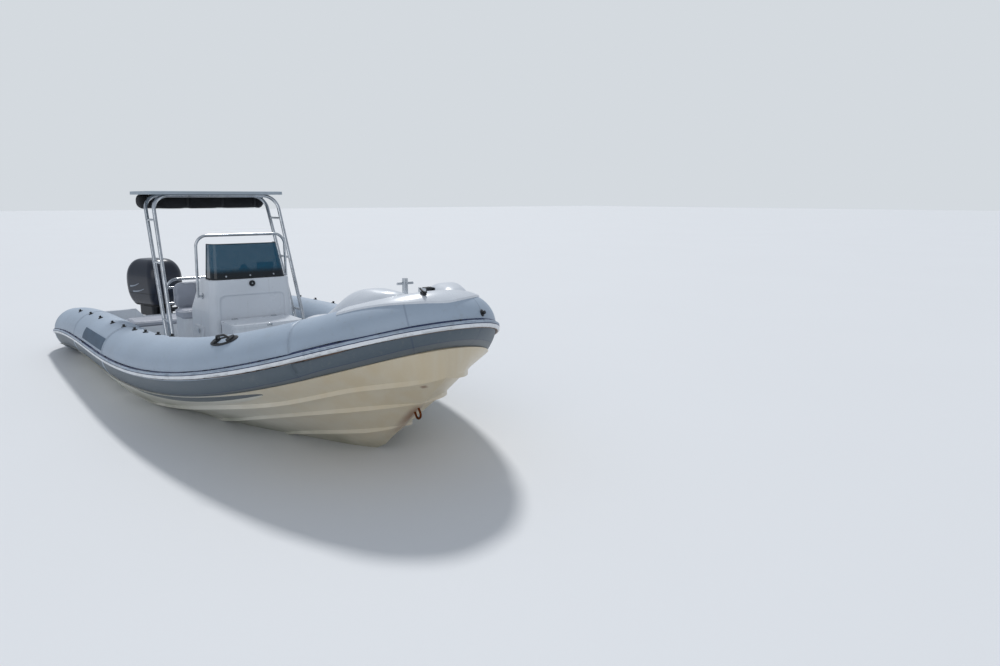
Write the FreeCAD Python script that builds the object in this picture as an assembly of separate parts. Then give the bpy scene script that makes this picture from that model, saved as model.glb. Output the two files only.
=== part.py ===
"""Rigid inflatable boat with centre console, stainless top frame and one outboard motor.

Millimetres. +X is forward, +Y is port, +Z is up. The origin lies on the centreline amidships
at the waterline. Every node is written as one STEP file in parts/.
"""
import FreeCAD
import Part
import math
import os

from FreeCAD import Placement, Rotation, Vector

# Overall sizes
LENGTH = 7200.0
BEAM = 2750.0
STERN_X = -LENGTH / 2
BOW_X = LENGTH / 2

# Inflatable collar
TUBE_R = 260.0              # radius along the sides
BOW_TUBE_R = 190.0          # radius at the stem
BOW_CURVE_LENGTH = 3800.0   # how far aft of the stem the plan starts to curve in
PLAN_POWER = 2.1            # roundness of the bow in plan, 2.0 is an ellipse
STERN_CONE = 450.0          # length of the tapered tube ends
CONE_POWER = 0.72           # 0.5 is an ellipse, more is more pointed
SHEER = ((-3600.0, 180.0), (-1300.0, 395.0), (1050.0, 495.0), (3350.0, 1060.0))  # x, axis height
BOW_TUBE_SPLIT = 55.0       # plan angle where the bow chamber begins
SEAT_GAP = 0.3              # clearance of soft and curved faces that rest on each other

# Hull
TRANSOM_X = -3250.0
HULL_LIP = 12.0             # the hull rim stands this far outside the collar
JOINT_DROP = 167.0          # the rim lies this far below the collar's axis
RAIL_WIDTH = 46.0           # width of the flat under each spray rail
CHINE_FLAT = 60.0
# Longitudinal lines of the bottom, from the transom to the stem: x, half breadth, height
KEEL = ((-3250, 0, -330), (-1500, 0, -337), (0, 0, -337), (850, 0, -325), (1450, 0, -285),
        (1880, 0, -217), (2180, 0, -143), (2400, 0, -70), (2550, 0, 0), (2680, 0, 62))
LOW_RAIL = ((-3250, 420, -205), (-1500, 420, -208), (0, 420, -200), (870, 420, -165),
            (1450, 420, -80), (1850, 410, 30), (2250, 370, 130), (2550, 290, 195),
            (2800, 165, 245), (2950, 0, 275))
HIGH_RAIL = ((-3250, 740, -110), (-1500, 745, -112), (0, 735, -90), (900, 720, -15),
             (1500, 710, 115), (2000, 695, 245), (2400, 630, 345), (2770, 490, 430),
             (3040, 290, 485), (3230, 0, 500))
CHINE = ((-3250, 1075, -15), (-1500, 1095, -8), (0, 1065, 5), (950, 960, 140),
         (1650, 920, 290), (2200, 840, 405), (2700, 690, 525), (3120, 450, 655),
         (3400, 225, 715), (3525, 0, 735))
RIM_X = (-3250, -1500, 0, 950, 1700, 2250, 2750, 3170, 3430)
SOLE_Z = 120.0
PLATFORM_X = 900.0          # step up to the bow platform
PLATFORM_Z = 300.0
COCKPIT_FRONT_X = 2250.0
SIDE_DECK_DROP = 0.45       # the inner rim lies this share of the radius below the axis

# Transom board
TRANSOM_THICK = 60.0
TRANSOM_TOP = 340.0
TRANSOM_SHOULDER = 440.0
NOTCH_HALF = 330.0

# Rub strake
STRAKE_HEIGHT = 74.0
STRAKE_PROUD = 20.0
STRAKE_SINK = 8.0           # the band starts this deep and is cut back to the collar

# Console
CONSOLE_FRONT_X = 10.0
CONSOLE_FOOT_LENGTH = 700.0
CONSOLE_TOP_LENGTH = 420.0
CONSOLE_FOOT_HALF = 445.0
CONSOLE_TOP_HALF = 400.0
CONSOLE_TOP_Z = 1082.0
CONSOLE_KNEE_Z = 760.0
CONSOLE_ROUND = 80.0
CONSOLE_PANEL_DEPTH = 14.0

# Windscreen
SCREEN_TOP_Z = 1423.0
SCREEN_TOP_HALF = 340.0
SCREEN_FOOT_HALF = 375.0
SCREEN_SETBACK = 30.0       # its foot lies this far behind the console's front edge
SCREEN_RAKE = 100.0         # its top lies this much further aft
SCREEN_THICK = 6.0
SCREEN_SIDE = 200.0         # length of the side wings
SCREEN_ROUND = 75.0         # corner radius seen from above

# Grab hoop round the windscreen
HOOP_R = 14.0
HOOP_TOP_Z = 1509.0
HOOP_HALF = 445.0
HOOP_FOOT_Z = 900.0
HOOP_X = -240.0
HOOP_BEND = 110.0

# Forward seat box with a hinged lid
FORE_SEAT_LENGTH = 420.0
FORE_SEAT_HALF = 340.0
FORE_SEAT_TOP = 690.0
BOX_WALL = 12.0
LID_THICK = 30.0
LID_GAP = 6.0

# Helm seat
HELM_X = -1330.0            # centre of the seat
HELM_LENGTH = 430.0
HELM_HALF = 410.0
HELM_BASE_TOP = 560.0
CUSHION_THICK = 90.0
BACK_TOP = 940.0
BACK_FOOT = 620.0
BACK_THICK = 90.0
SEAT_FRAME_R = 16.0
SEAT_BAR_R = 12.0
SEAT_BARS = (690.0, 870.0)  # heights of the bars that carry the backrest

# Stern bench
BENCH_FRONT_X = -2240.0
BENCH_LENGTH = 440.0
BENCH_HALF = 690.0
BENCH_TOP = 345.0
BENCH_CUSHION = 60.0

# Top frame: two arches, a ring of thinner tube on them, and the canopy on the ring
LEG_R = 19.0
LEG_FOOT_HALF = 705.0
LEG_FOOT_X = (-208.0, -417.0)
LEG_PAD_R = 50.0
LEG_PAD_THICK = 10.0
LEG_TIES = (0.3, 0.62, 0.86)    # heights of the ties, as shares of the leg
TIE_R = 12.0
ARCH_TOP_X = (-925.0, -1275.0)
ARCH_HALF = 655.0
ARCH_Z = 1900.0             # axis of the arches' cross runs
ARCH_BEND = 160.0
RING_R = 12.0
RING_BAR_R = 10.0           # cross bars
RING_FRONT_X = -860.0
RING_LENGTH = 770.0
RING_HALF = 720.0
RING_BEND = 50.0
ROLL_BAR_X = -1455.0        # bar of the ring that carries the rolled curtain
CANOPY_THICK = 12.0
ROLL_FRONT_X = -1320.0
ROLL_DEPTH = 270.0
ROLL_HEIGHT = 165.0
ROLL_HALF = 712.0
ROLL_ROUND = 70.0

# Bow moulding
BOW_DECK_AFT_X = 2250.0
BOW_DECK_FRONT_X = 3310.0
CHANNEL_FRONT_Z = 1225.0
DECK_DEPTH = 170.0          # the moulding's underside before it is cut to the hull
SKIRT_THICK = 12.0
ROLLER_X = 3300.0
ROLLER_SEAT_Z = 1256.0
ROLLER_HALF = 34.0
ROLLER_PLATE = 5.0
ROLLER_R = 18.0
ROLLER_PIN_R = 5.0
POST_X = 3020.0
POST_TOP = 1335.0
POST_R = 20.0
POST_FOOT_R = 48.0
POST_BAR_HALF = 62.0
SKIRT_FROM = 1.69           # station of the skirt's aft edge
SKIRT_OUT_AFT = 0.38        # its outer edge, as a share of the radius outboard of the axis
SKIRT_OUT_NOSE = 0.70

# Anchor locker in the bow moulding, with its lid hinged at the aft edge
LOCKER_AFT = Vector(2440.0, 0.0, 945.0)
LOCKER_SLOPE = 18.0
LOCKER_LENGTH = 430.0
LOCKER_HALF = 150.0
LOCKER_DEPTH = 170.0
LOCKER_LID = 14.0
LOCKER_LEDGE = 18.0
LOCKER_GAP = 6.0

# Eyes, handles and tow rings
EYE_X = 3140.0
EYE_Z = 430.0
EYE_TILT = 38.0
EYE_REACH = 62.0
EYE_SPREAD = 64.0
EYE_BAR = 8.0
STERN_EYE_Y = 560.0
STERN_EYE_Z = 230.0
HANDLE_X = 2170.0
HANDLE_ANGLE = 60.0
HANDLE_LENGTH = 180.0
HANDLE_RISE = 42.0
HANDLE_PAD_R = 34.0
TOW_PATCH_R = 60.0
TOW_REACH = 46.0

# Dash and engine control
DASH_LENGTH = 230.0
DASH_HALF = 330.0
DASH_THICK = 14.0
HOOD_HEIGHT = 72.0
HOOD_HALF = 120.0
WHEEL_SHARE = 0.55          # how far down the helm face the wheel's shaft stands
WHEEL_SHAFT_R = 12.0
WHEEL_R = 165.0
THROTTLE_SHARE = 0.3
THROTTLE_Y = -300.0
THROTTLE_R = 34.0

# Outboard motor
TILT_AHEAD = -20.0          # tilt axis, aft of the transom's outer face
TILT_ABOVE = 45.0           # and above the transom's top
STEER_BEHIND = 95.0         # steering axis, aft of the transom's outer face
STEER_REST = 20.0           # the motor is parked turned by this angle
CLAMP_HALF = 112.0
CLAMP_PLATE = 14.0
CLAMP_EYE_R = 32.0
TILT_PIN_R = 14.0
BARREL_R = 30.0
POST_TUBE_R = 40.0
STEER_PIN_R = 18.0
ARM_GAP = 6.0
COWL_WALL = 8.0
COWL_BASE = 100.0           # cowl's foot above the transom's top
PAN_AHEAD = 62.0            # the pan under the cowl starts this far behind the steering axis
PAN_LENGTH = 370.0
PAN_HALF = 150.0
PAN_DROP = 40.0             # and reaches this far below the transom's top
PROP_R = 190.0
PROP_DROP = 205.0           # propeller axis below the cavitation plate
SHAFT_R = 15.0
PIN_GAP = 0.5

Z = Vector(0, 0, 1)


def save(name, shape):
    """Write one node."""
    if not shape.isValid():
        print("not valid:", name)
    shape.exportStep("parts/%s.step" % name)
    print("%-26s %3d solids %9.4f m3" % (name, len(shape.Solids), shape.Volume / 1e9))


def fuse_all(shapes):
    """One clean solid or compound of several shapes."""
    out = shapes[0]
    for shape in shapes[1:]:
        out = out.fuse(shape)
    return out.removeSplitter()


def mirror_y(shape):
    """The same piece on the other side of the centreline."""
    return shape.mirror(Vector(0, 0, 0), Vector(0, 1, 0))


def box(x0, x1, y0, y1, z0, z1):
    """A block between two corners."""
    return Part.makeBox(x1 - x0, y1 - y0, z1 - z0, Vector(x0, y0, z0))


def rod(start, end, radius):
    """A round bar between two points."""
    run = end - start
    return Part.makeCylinder(radius, run.Length, start, run)


def plate_xz(points, y0, y1):
    """A plate whose outline lies in a plane along the boat."""
    outline = [Vector(x, y0, z) for x, z in points]
    face = Part.Face(Part.makePolygon(outline + outline[:1]))
    return face.extrude(Vector(0, y1 - y0, 0))


def rounded_wire(x0, x1, half, z, radius):
    """Level rectangle with round corners, symmetric about the centreline."""
    r = min(radius, half * 0.99, (x1 - x0) * 0.49)
    k = r * (1 - math.sqrt(0.5))
    p = [Vector(x0 + r, -half, z), Vector(x1 - r, -half, z), Vector(x1, -half + r, z),
         Vector(x1, half - r, z), Vector(x1 - r, half, z), Vector(x0 + r, half, z),
         Vector(x0, half - r, z), Vector(x0, -half + r, z)]
    mids = [Vector(x1 - k, -half + k, z), Vector(x1 - k, half - k, z),
            Vector(x0 + k, half - k, z), Vector(x0 + k, -half + k, z)]
    edges = []
    for i in range(4):
        a = p[2 * i]
        b = p[2 * i + 1]
        c = p[(2 * i + 2) % 8]
        edges.append(Part.makeLine(a, b))
        edges.append(Part.Arc(b, mids[i], c).toShape())
    return Part.Wire(edges)


def sheer_z(x):
    """Height of the collar's axis: the cubic through the four sheer points."""
    total = 0.0
    for i, (xi, zi) in enumerate(SHEER):
        term = zi
        for j, (xj, _) in enumerate(SHEER):
            if j != i:
                term *= (x - xj) / (xi - xj)
        total += term
    return total


def plan_point(angle):
    """Outer edge of the collar in plan at one bow angle, 0 abeam and 90 at the stem."""
    a = math.radians(angle)
    x = BOW_X - BOW_CURVE_LENGTH + BOW_CURVE_LENGTH * math.sin(a) ** (2 / PLAN_POWER)
    y = BEAM / 2 * max(math.cos(a), 0.0) ** (2 / PLAN_POWER)
    return x, y


def tube_radius(angle):
    """The collar tapers towards the stem."""
    return TUBE_R - (TUBE_R - BOW_TUBE_R) * math.sin(math.radians(angle)) ** 4


def tube_station(s):
    """Axis point, plan normal and radius on the port side.

    s runs from 0 at the stern to 1 where the plan begins to curve, then to 2 at the stem.
    """
    if s <= 1.0:
        x_end = BOW_X - BOW_CURVE_LENGTH
        x = STERN_X + s * (x_end - STERN_X)
        return Vector(x, BEAM / 2 - TUBE_R, sheer_z(x)), Vector(0, 1, 0), TUBE_R
    angle = (s - 1.0) * 90.0
    if angle > 89.99:
        x, y = plan_point(90.0)
        normal = Vector(1, 0, 0)
    else:
        step = 0.01
        xa, ya = plan_point(max(angle - step, 0.0))
        xb, yb = plan_point(min(angle + step, 90.0))
        x, y = plan_point(angle)
        normal = Vector(ya - yb, xb - xa, 0).normalize()
    r = tube_radius(angle)
    ax = x - r * normal.x
    return Vector(ax, max(y - r * normal.y, 0.0), sheer_z(ax)), normal, r


def tube_tangent(s):
    """Direction of the collar's axis towards the bow."""
    step = 0.002
    a = tube_station(max(s - step, 0.0))[0]
    b = tube_station(min(s + step, 2.0))[0]
    if s > 1.999:
        return Vector(0, -1, 0)
    return (b - a).normalize()


def tube_frame(s):
    """Axis point, outward direction, upward direction and radius."""
    centre, normal, r = tube_station(s)
    along = tube_tangent(s)
    out = (normal - along * normal.dot(along)).normalize()
    up = along.cross(out) * -1
    if up.z < 0:
        up = up * -1
    return centre, out, up, r


def ring_wire(s, grow, side):
    """Round section of the collar as two arcs, with side 1 port and -1 starboard."""
    centre, out, up, r = tube_frame(s)
    r += grow
    pts = [centre + up * r, centre + out * r, centre - up * r, centre - out * r]
    if side < 0:
        pts = [Vector(p.x, -p.y, p.z) for p in pts]
    return Part.Wire([Part.Arc(pts[0], pts[1], pts[2]).toShape(),
                      Part.Arc(pts[2], pts[3], pts[0]).toShape()])


def tube_loft(stations, grow=0.0):
    """Solid along (s, side) stations."""
    return Part.makeLoft([ring_wire(s, grow, side) for s, side in stations], True, False)


CONE_S = STERN_CONE / (BOW_X - BOW_CURVE_LENGTH - STERN_X)
SIDE_S = (CONE_S, 0.36, 0.68, 1.0)
BOW_S = tuple(1 + a / 90 for a in (20.0, 38.0, BOW_TUBE_SPLIT))
NOSE_S = tuple(1 + a / 90 for a in (BOW_TUBE_SPLIT, 68.0, 79.0, 90.0))


def stern_dome(side, grow=0.0):
    """Tapered end of a side tube."""
    centre, out, up, r = tube_frame(CONE_S)
    along = tube_tangent(CONE_S) * -1
    r += grow
    length = STERN_CONE + grow
    steps = (0.0, 0.35, 0.62, 0.82, 0.94, 0.992)
    wires = []
    for share in steps:
        c = centre + along * (length * share)
        k = r * (1 - share * share) ** CONE_POWER
        pts = [c + up * k, c + out * k, c - up * k, c - out * k]
        pts = [Vector(p.x, p.y * side, p.z) for p in pts]
        wires.append(Part.Wire([Part.Arc(pts[0], pts[1], pts[2]).toShape(),
                                Part.Arc(pts[2], pts[3], pts[0]).toShape()]))
    return Part.makeLoft(wires, True, False)


def collar_parts(grow=0.0):
    """The five chambers of the collar, by name."""
    parts = {}
    for name, side in (("port", 1), ("starboard", -1)):
        aft = tube_loft([(s, side) for s in SIDE_S], grow)
        parts["collar_aft_" + name] = aft.fuse(stern_dome(side, grow)).removeSplitter()
        parts["collar_side_" + name] = tube_loft([(s, side) for s in (1.0,) + BOW_S], grow)
    nose = [(s, 1) for s in NOSE_S] + [(s, -1) for s in reversed(NOSE_S[:-1])]
    parts["collar_bow"] = tube_loft(nose, grow)
    return parts


def biggest(shape):
    """The largest solid of a cut shape."""
    return max(shape.Solids, key=lambda solid: solid.Volume)


def cut_all(shape, tools):
    """Shape less each tool in turn."""
    for tool in tools:
        shape = shape.cut(tool)
    return shape


def ring_point(s, drop, grow):
    """Point on the collar's outer side at a drop below its axis."""
    centre, out, _, r = tube_frame(s)
    r += grow
    return centre + out * math.sqrt(max(r * r - drop * drop, 0.0)) + Vector(0, 0, -drop)


def s_at_x(x, place):
    """Station where a point of the collar reaches a given x."""
    low, high = 0.0, 2.0
    for _ in range(50):
        mid = (low + high) / 2
        if place(mid).x < x:
            low = mid
        else:
            high = mid
    return low


def axis_at(x):
    """Collar axis and radius at a given x on the port side."""
    s = s_at_x(x, lambda t: tube_station(t)[0])
    centre, _, r = tube_station(s)
    return centre, r


def towards(point, target, reach):
    """A point moved some way towards another, never past a quarter of the way."""
    run = target - point
    return point + run * min(reach / run.Length, 0.25)


def stepped_rail(line, inboard, width):
    """Three lines that make one downward facing flat along a rail or chine."""
    low = []
    edge = []
    last = len(line) - 1
    for i, (p, q) in enumerate(zip(line, inboard)):
        if i == last:
            low.append(p + Vector(-8, 0, -8))
            edge.append(p + Vector(-3, 0, -5))
        else:
            inner = towards(p, q, width)
            low.append(inner)
            edge.append(Vector(p.x, p.y, inner.z))
    return [low, edge, line]


def hull_lines():
    """Longitudinal lines of the port side, from the keel to inside the collar."""
    keel = [Vector(*p) for p in KEEL]
    low = [Vector(*p) for p in LOW_RAIL]
    high = [Vector(*p) for p in HIGH_RAIL]
    chine = [Vector(*p) for p in CHINE]
    place = lambda s: ring_point(s, JOINT_DROP, HULL_LIP)
    stations = [s_at_x(x, place) for x in RIM_X] + [2.0]
    rim = []
    inner = []
    for s in stations:
        rim.append(place(s))
        centre, normal, r = tube_station(s)
        p = centre - normal * (0.5 * r)
        inner.append(Vector(p.x, max(p.y, 8.0), max(centre.z - SIDE_DECK_DROP * r, SOLE_Z + 30.0)))
    rim[-1].y = 0.0
    inner[0].x = rim[0].x
    lines = [keel]
    lines += stepped_rail(low, keel, RAIL_WIDTH)
    lines += stepped_rail(high, low, RAIL_WIDTH)
    lines += stepped_rail(chine, high, CHINE_FLAT)
    lines += [rim, inner]
    return lines


def line_edges(lines):
    """Smooth edges through the lines, all with the parameters of the rim."""
    rim = lines[-2]
    marks = [0.0]
    for a, b in zip(rim, rim[1:]):
        marks.append(marks[-1] + (b - a).Length)
    marks = [m / marks[-1] for m in marks]
    edges = []
    for line in lines:
        curve = Part.BSplineCurve()
        curve.interpolate(Points=line, Parameters=marks)
        edges.append(curve.toShape())
    return edges


def make_hull(clear):
    """Deep V hull: ruled panels between its lines, then the collar's seat and the cockpit."""
    lines = hull_lines()
    edges = line_edges(lines)
    panels = [Part.makeRuledSurface(a, b, 1) for a, b in zip(edges, edges[1:])]
    faces = panels + [mirror_y(f) for f in panels]
    faces.append(Part.makeRuledSurface(edges[-1], mirror_y(edges[-1]), 1))
    tip = [lines[-2][-1], lines[-1][-1], Vector(lines[-1][-1].x, -lines[-1][-1].y, lines[-1][-1].z)]
    faces.append(Part.Face(Part.makePolygon(tip + tip[:1])))
    stern = [line[0] for line in lines]
    stern += [Vector(p.x, -p.y, p.z) for p in reversed(stern[1:])]
    faces.append(Part.Face(Part.makePolygon(stern + stern[:1])))
    shell = Part.makeShell([f for face in faces for f in face.Faces])
    shell.sewShape()
    body = Part.makeSolid(shell)
    if body.Volume < 0:
        body.reverse()
    print("hull loft", body.isValid(), round(body.Volume / 1e9, 3))
    body = cut_all(body, clear)
    body = body.cut(cockpit_prism(PLATFORM_Z, 2000.0))
    sole = cockpit_prism(SOLE_Z, PLATFORM_Z)
    return body.cut(sole.cut(box(PLATFORM_X, BOW_X, -BEAM, BEAM, SOLE_Z, PLATFORM_Z)))


def cockpit_prism(z0, z1):
    """Room between the tubes between two heights, one smooth outline from stern to bow."""
    x0 = TRANSOM_X - 50.0
    x1 = COCKPIT_FRONT_X
    xs = [x0 + (x1 - x0) * k / 7 for k in range(8)]
    port = [Vector(x, cockpit_half(x), z0) for x in xs]
    side = Part.BSplineCurve()
    side.interpolate(port)
    other = Part.BSplineCurve()
    other.interpolate([Vector(p.x, -p.y, z0) for p in reversed(port)])
    edges = [side.toShape(), Part.makeLine(port[-1], Vector(port[-1].x, -port[-1].y, z0)),
             other.toShape(), Part.makeLine(Vector(port[0].x, -port[0].y, z0), port[0])]
    return Part.Face(Part.Wire(edges)).extrude(Vector(0, 0, z1 - z0))


def cockpit_half(x):
    """Half width of the room between the tubes."""
    axis, r = axis_at(x)
    return axis.y - 0.98 * r


def make_transom(clear, hull):
    """Motor board between the tubes, notched for the motor."""
    half = BEAM / 2 - TUBE_R
    pts = [(-half, SOLE_Z), (half, SOLE_Z), (half, TRANSOM_SHOULDER),
           (NOTCH_HALF + 90, TRANSOM_SHOULDER), (NOTCH_HALF, TRANSOM_TOP),
           (-NOTCH_HALF, TRANSOM_TOP), (-NOTCH_HALF - 90, TRANSOM_SHOULDER),
           (-half, TRANSOM_SHOULDER)]
    outline = [Vector(TRANSOM_X, y, z) for y, z in pts]
    face = Part.Face(Part.makePolygon(outline + outline[:1]))
    board = face.extrude(Vector(TRANSOM_THICK, 0, 0))
    return biggest(cut_all(board, clear).cut(hull))


def make_strake(clear):
    """Rubber rub strake round the collar's widest line, seated on the collar."""
    def section(s, side):
        centre, out, up, r = tube_frame(s)
        low = STRAKE_HEIGHT / 2
        inner = r - STRAKE_SINK
        k = inner - math.sqrt(inner * inner - low * low)
        pts = [centre + up * low + out * (inner - k), centre + out * inner,
               centre - up * low + out * (inner - k)]
        tip = [centre - up * low * 0.55 + out * (r + STRAKE_PROUD),
               centre + up * low * 0.55 + out * (r + STRAKE_PROUD)]
        if side < 0:
            pts = [Vector(p.x, -p.y, p.z) for p in pts]
            tip = [Vector(p.x, -p.y, p.z) for p in tip]
        return Part.Wire([Part.Arc(pts[0], pts[1], pts[2]).toShape(),
                          Part.makeLine(pts[2], tip[0]), Part.makeLine(tip[0], tip[1]),
                          Part.makeLine(tip[1], pts[0])])
    run = SIDE_S + BOW_S + NOSE_S[1:]
    stations = [(s, 1) for s in run] + [(s, -1) for s in reversed(run[:-1])]
    band = Part.makeLoft([section(s, side) for s, side in stations], True, False)
    return biggest(cut_all(band, clear))


def make_console():
    """Console moulding: upright front, sloping helm face, sunk front panel."""
    x1 = CONSOLE_FRONT_X
    wires = [rounded_wire(x1 - CONSOLE_FOOT_LENGTH, x1, CONSOLE_FOOT_HALF, SOLE_Z, CONSOLE_ROUND),
             rounded_wire(x1 - CONSOLE_FOOT_LENGTH + 20, x1, CONSOLE_TOP_HALF + 25,
                          CONSOLE_KNEE_Z, CONSOLE_ROUND),
             rounded_wire(x1 - CONSOLE_TOP_LENGTH, x1, CONSOLE_TOP_HALF, CONSOLE_TOP_Z,
                          CONSOLE_ROUND)]
    body = Part.makeLoft(wires, True, True)
    panel = rounded_panel(x1, 330.0, 330.0, 930.0, 60.0, CONSOLE_PANEL_DEPTH)
    return body.cut(panel)


def rounded_panel(x, half, z0, z1, radius, depth):
    """Rounded block that sinks into a forward face."""
    wire = rounded_wire(z0, z1, half, 0.0, radius)
    face = Part.Face(wire)
    solid = face.extrude(Vector(0, 0, depth + 20.0))
    turn = Placement(Vector(x - depth, 0, 0), Rotation(Vector(0, 1, 0), 90.0))
    solid.Placement = turn
    solid = solid.mirror(Vector(0, 0, 0), Vector(0, 0, 1))
    return solid


def make_screen():
    """Tinted windscreen: a curved sheet with side wings."""
    def outline(half, x, side_len, z, inset):
        h = half - inset
        front = x - inset
        r = SCREEN_ROUND - inset
        k = r * (1 - math.sqrt(0.5))
        return [Vector(front - side_len, -h, z), Vector(front - r, -h, z),
                Vector(front - k, -h + k, z), Vector(front, -h + r, z),
                Vector(front, h - r, z), Vector(front - k, h - k, z),
                Vector(front - r, h, z), Vector(front - side_len, h, z)]

    def wire(half, x, side_len, z):
        o = outline(half, x, side_len, z, 0.0)
        i = outline(half, x, side_len, z, SCREEN_THICK)
        i[0].x = o[0].x
        i[7].x = o[7].x
        edges = [Part.makeLine(o[0], o[1]), Part.Arc(o[1], o[2], o[3]).toShape(),
                 Part.makeLine(o[3], o[4]), Part.Arc(o[4], o[5], o[6]).toShape(),
                 Part.makeLine(o[6], o[7]), Part.makeLine(o[7], i[7]),
                 Part.makeLine(i[7], i[6]), Part.Arc(i[6], i[5], i[4]).toShape(),
                 Part.makeLine(i[4], i[3]), Part.Arc(i[3], i[2], i[1]).toShape(),
                 Part.makeLine(i[1], i[0]), Part.makeLine(i[0], o[0])]
        return Part.Wire(edges)
    foot_x = CONSOLE_FRONT_X - SCREEN_SETBACK
    foot = wire(SCREEN_FOOT_HALF, foot_x, SCREEN_SIDE, CONSOLE_TOP_Z)
    top = wire(SCREEN_TOP_HALF, foot_x - SCREEN_RAKE, SCREEN_SIDE * 0.7, SCREEN_TOP_Z)
    return Part.makeLoft([foot, top], True, True)


def bent_tube(points, radius, bend):
    """Tube along straight runs joined by arcs."""
    edges = []
    start = points[0]
    for i in range(1, len(points) - 1):
        a = (points[i - 1] - points[i]).normalize()
        b = (points[i + 1] - points[i]).normalize()
        half = a.getAngle(b) / 2
        reach = bend / math.tan(half)
        p1 = points[i] + a * reach
        p2 = points[i] + b * reach
        centre = points[i] + (a + b).normalize() * (bend / math.sin(half))
        mid = centre + (points[i] - centre).normalize() * bend
        edges.append(Part.makeLine(start, p1))
        edges.append(Part.Arc(p1, mid, p2).toShape())
        start = p2
    edges.append(Part.makeLine(start, points[-1]))
    path = Part.Wire(edges)
    run = points[1] - points[0]
    ring = Part.Wire(Part.Circle(points[0], run, radius).toShape())
    tube = path.makePipeShell([ring], True, True)
    if tube.Volume < 0:
        tube.reverse()
    return tube


def make_hoop():
    """Stainless hoop over the windscreen, fixed to the console's sides."""
    side = HOOP_HALF + HOOP_R + SEAT_GAP
    foot_half = console_half(HOOP_FOOT_Z) + SEAT_GAP
    pts = [Vector(HOOP_X, -side, HOOP_FOOT_Z), Vector(HOOP_X + 10.0, -side + 10.0, HOOP_TOP_Z),
           Vector(HOOP_X + 10.0, side - 10.0, HOOP_TOP_Z), Vector(HOOP_X, side, HOOP_FOOT_Z)]
    legs = bent_tube(pts, HOOP_R, HOOP_BEND)
    feet = []
    for sign in (-1, 1):
        a = Vector(HOOP_X, sign * foot_half, HOOP_FOOT_Z + 12)
        feet.append(rod(a, Vector(HOOP_X, sign * side, HOOP_FOOT_Z + 12), HOOP_R * 0.8))
    return legs.fuse(feet[0]).fuse(feet[1])


def console_half(z):
    """Half width of the console at a height."""
    if z > CONSOLE_KNEE_Z:
        k = (z - CONSOLE_KNEE_Z) / (CONSOLE_TOP_Z - CONSOLE_KNEE_Z)
        return CONSOLE_TOP_HALF + 25 * (1 - k)
    k = (z - SOLE_Z) / (CONSOLE_KNEE_Z - SOLE_Z)
    return CONSOLE_FOOT_HALF + (CONSOLE_TOP_HALF + 25 - CONSOLE_FOOT_HALF) * k


def rounded_block(x0, x1, half, z0, z1, radius):
    """Upright block with round corners in plan."""
    face = Part.Face(rounded_wire(x0, x1, half, z0, radius))
    return face.extrude(Vector(0, 0, z1 - z0))


def make_fore_seat():
    """Open locker in front of the console, its lid and its cushion."""
    x0 = CONSOLE_FRONT_X + SEAT_GAP
    x1 = x0 + FORE_SEAT_LENGTH
    body = rounded_block(x0, x1, FORE_SEAT_HALF, SOLE_Z, FORE_SEAT_TOP - LID_THICK, 60.0)
    room = rounded_block(x0 + BOX_WALL, x1 - BOX_WALL, FORE_SEAT_HALF - BOX_WALL,
                         SOLE_Z + BOX_WALL, FORE_SEAT_TOP, 50.0)
    box_node = body.cut(room)
    lid = rounded_block(x0 + LID_GAP, x1 + 8.0, FORE_SEAT_HALF + 8.0,
                        FORE_SEAT_TOP - LID_THICK + SEAT_GAP, FORE_SEAT_TOP, 60.0)
    return box_node, lid


def make_cushion(x0, x1, half, z0, thick, radius):
    """Plain padded cushion."""
    block = rounded_block(x0, x1, half, z0 + SEAT_GAP, z0 + thick, radius)
    return block


def make_helm_seat():
    """Seat box, cushion, and a backrest on the two bars of its upright frame."""
    x0 = HELM_X - HELM_LENGTH / 2
    x1 = HELM_X + HELM_LENGTH / 2
    base = rounded_block(x0 + 30.0, x1 - 30.0, HELM_HALF - 40.0, SOLE_Z, HELM_BASE_TOP, 60.0)
    frame_x = x0 - 30.0
    back_x = frame_x + SEAT_BAR_R + SEAT_GAP
    cushion = make_cushion(back_x + BACK_THICK + 30.0, x1, HELM_HALF, HELM_BASE_TOP,
                           CUSHION_THICK, 70.0)
    back = rounded_panel_block(back_x, back_x + BACK_THICK, HELM_HALF - 30.0, BACK_FOOT,
                               BACK_TOP, 110.0)
    y = HELM_HALF + SEAT_FRAME_R
    top = BACK_TOP + SEAT_FRAME_R + 6.0
    frame = bent_tube([Vector(frame_x, -y, SOLE_Z), Vector(frame_x, -y, top),
                       Vector(frame_x, y, top), Vector(frame_x, y, SOLE_Z)],
                      SEAT_FRAME_R, 120.0)
    bars = [rod(Vector(frame_x, -y, z), Vector(frame_x, y, z), SEAT_BAR_R) for z in SEAT_BARS]
    return base, cushion, back, fuse_all([frame] + bars)


def rounded_panel_block(x0, x1, half, z0, z1, radius):
    """Upright panel with round corners seen from ahead."""
    wire = rounded_wire(z0, z1, half, 0.0, radius)
    solid = Part.Face(wire).extrude(Vector(0, 0, x1 - x0))
    solid.Placement = Placement(Vector(x0, 0, 0), Rotation(Vector(0, 1, 0), 90.0))
    return solid.mirror(Vector(0, 0, 0), Vector(0, 0, 1))


def make_bench():
    """Low stern bench and its cushion."""
    x1 = BENCH_FRONT_X
    x0 = x1 - BENCH_LENGTH
    base = rounded_block(x0, x1, BENCH_HALF, SOLE_Z, BENCH_TOP, 50.0)
    cushion = make_cushion(x0 + 10, x1 + 10, BENCH_HALF - 10, BENCH_TOP, BENCH_CUSHION, 50.0)
    return base, cushion


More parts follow.
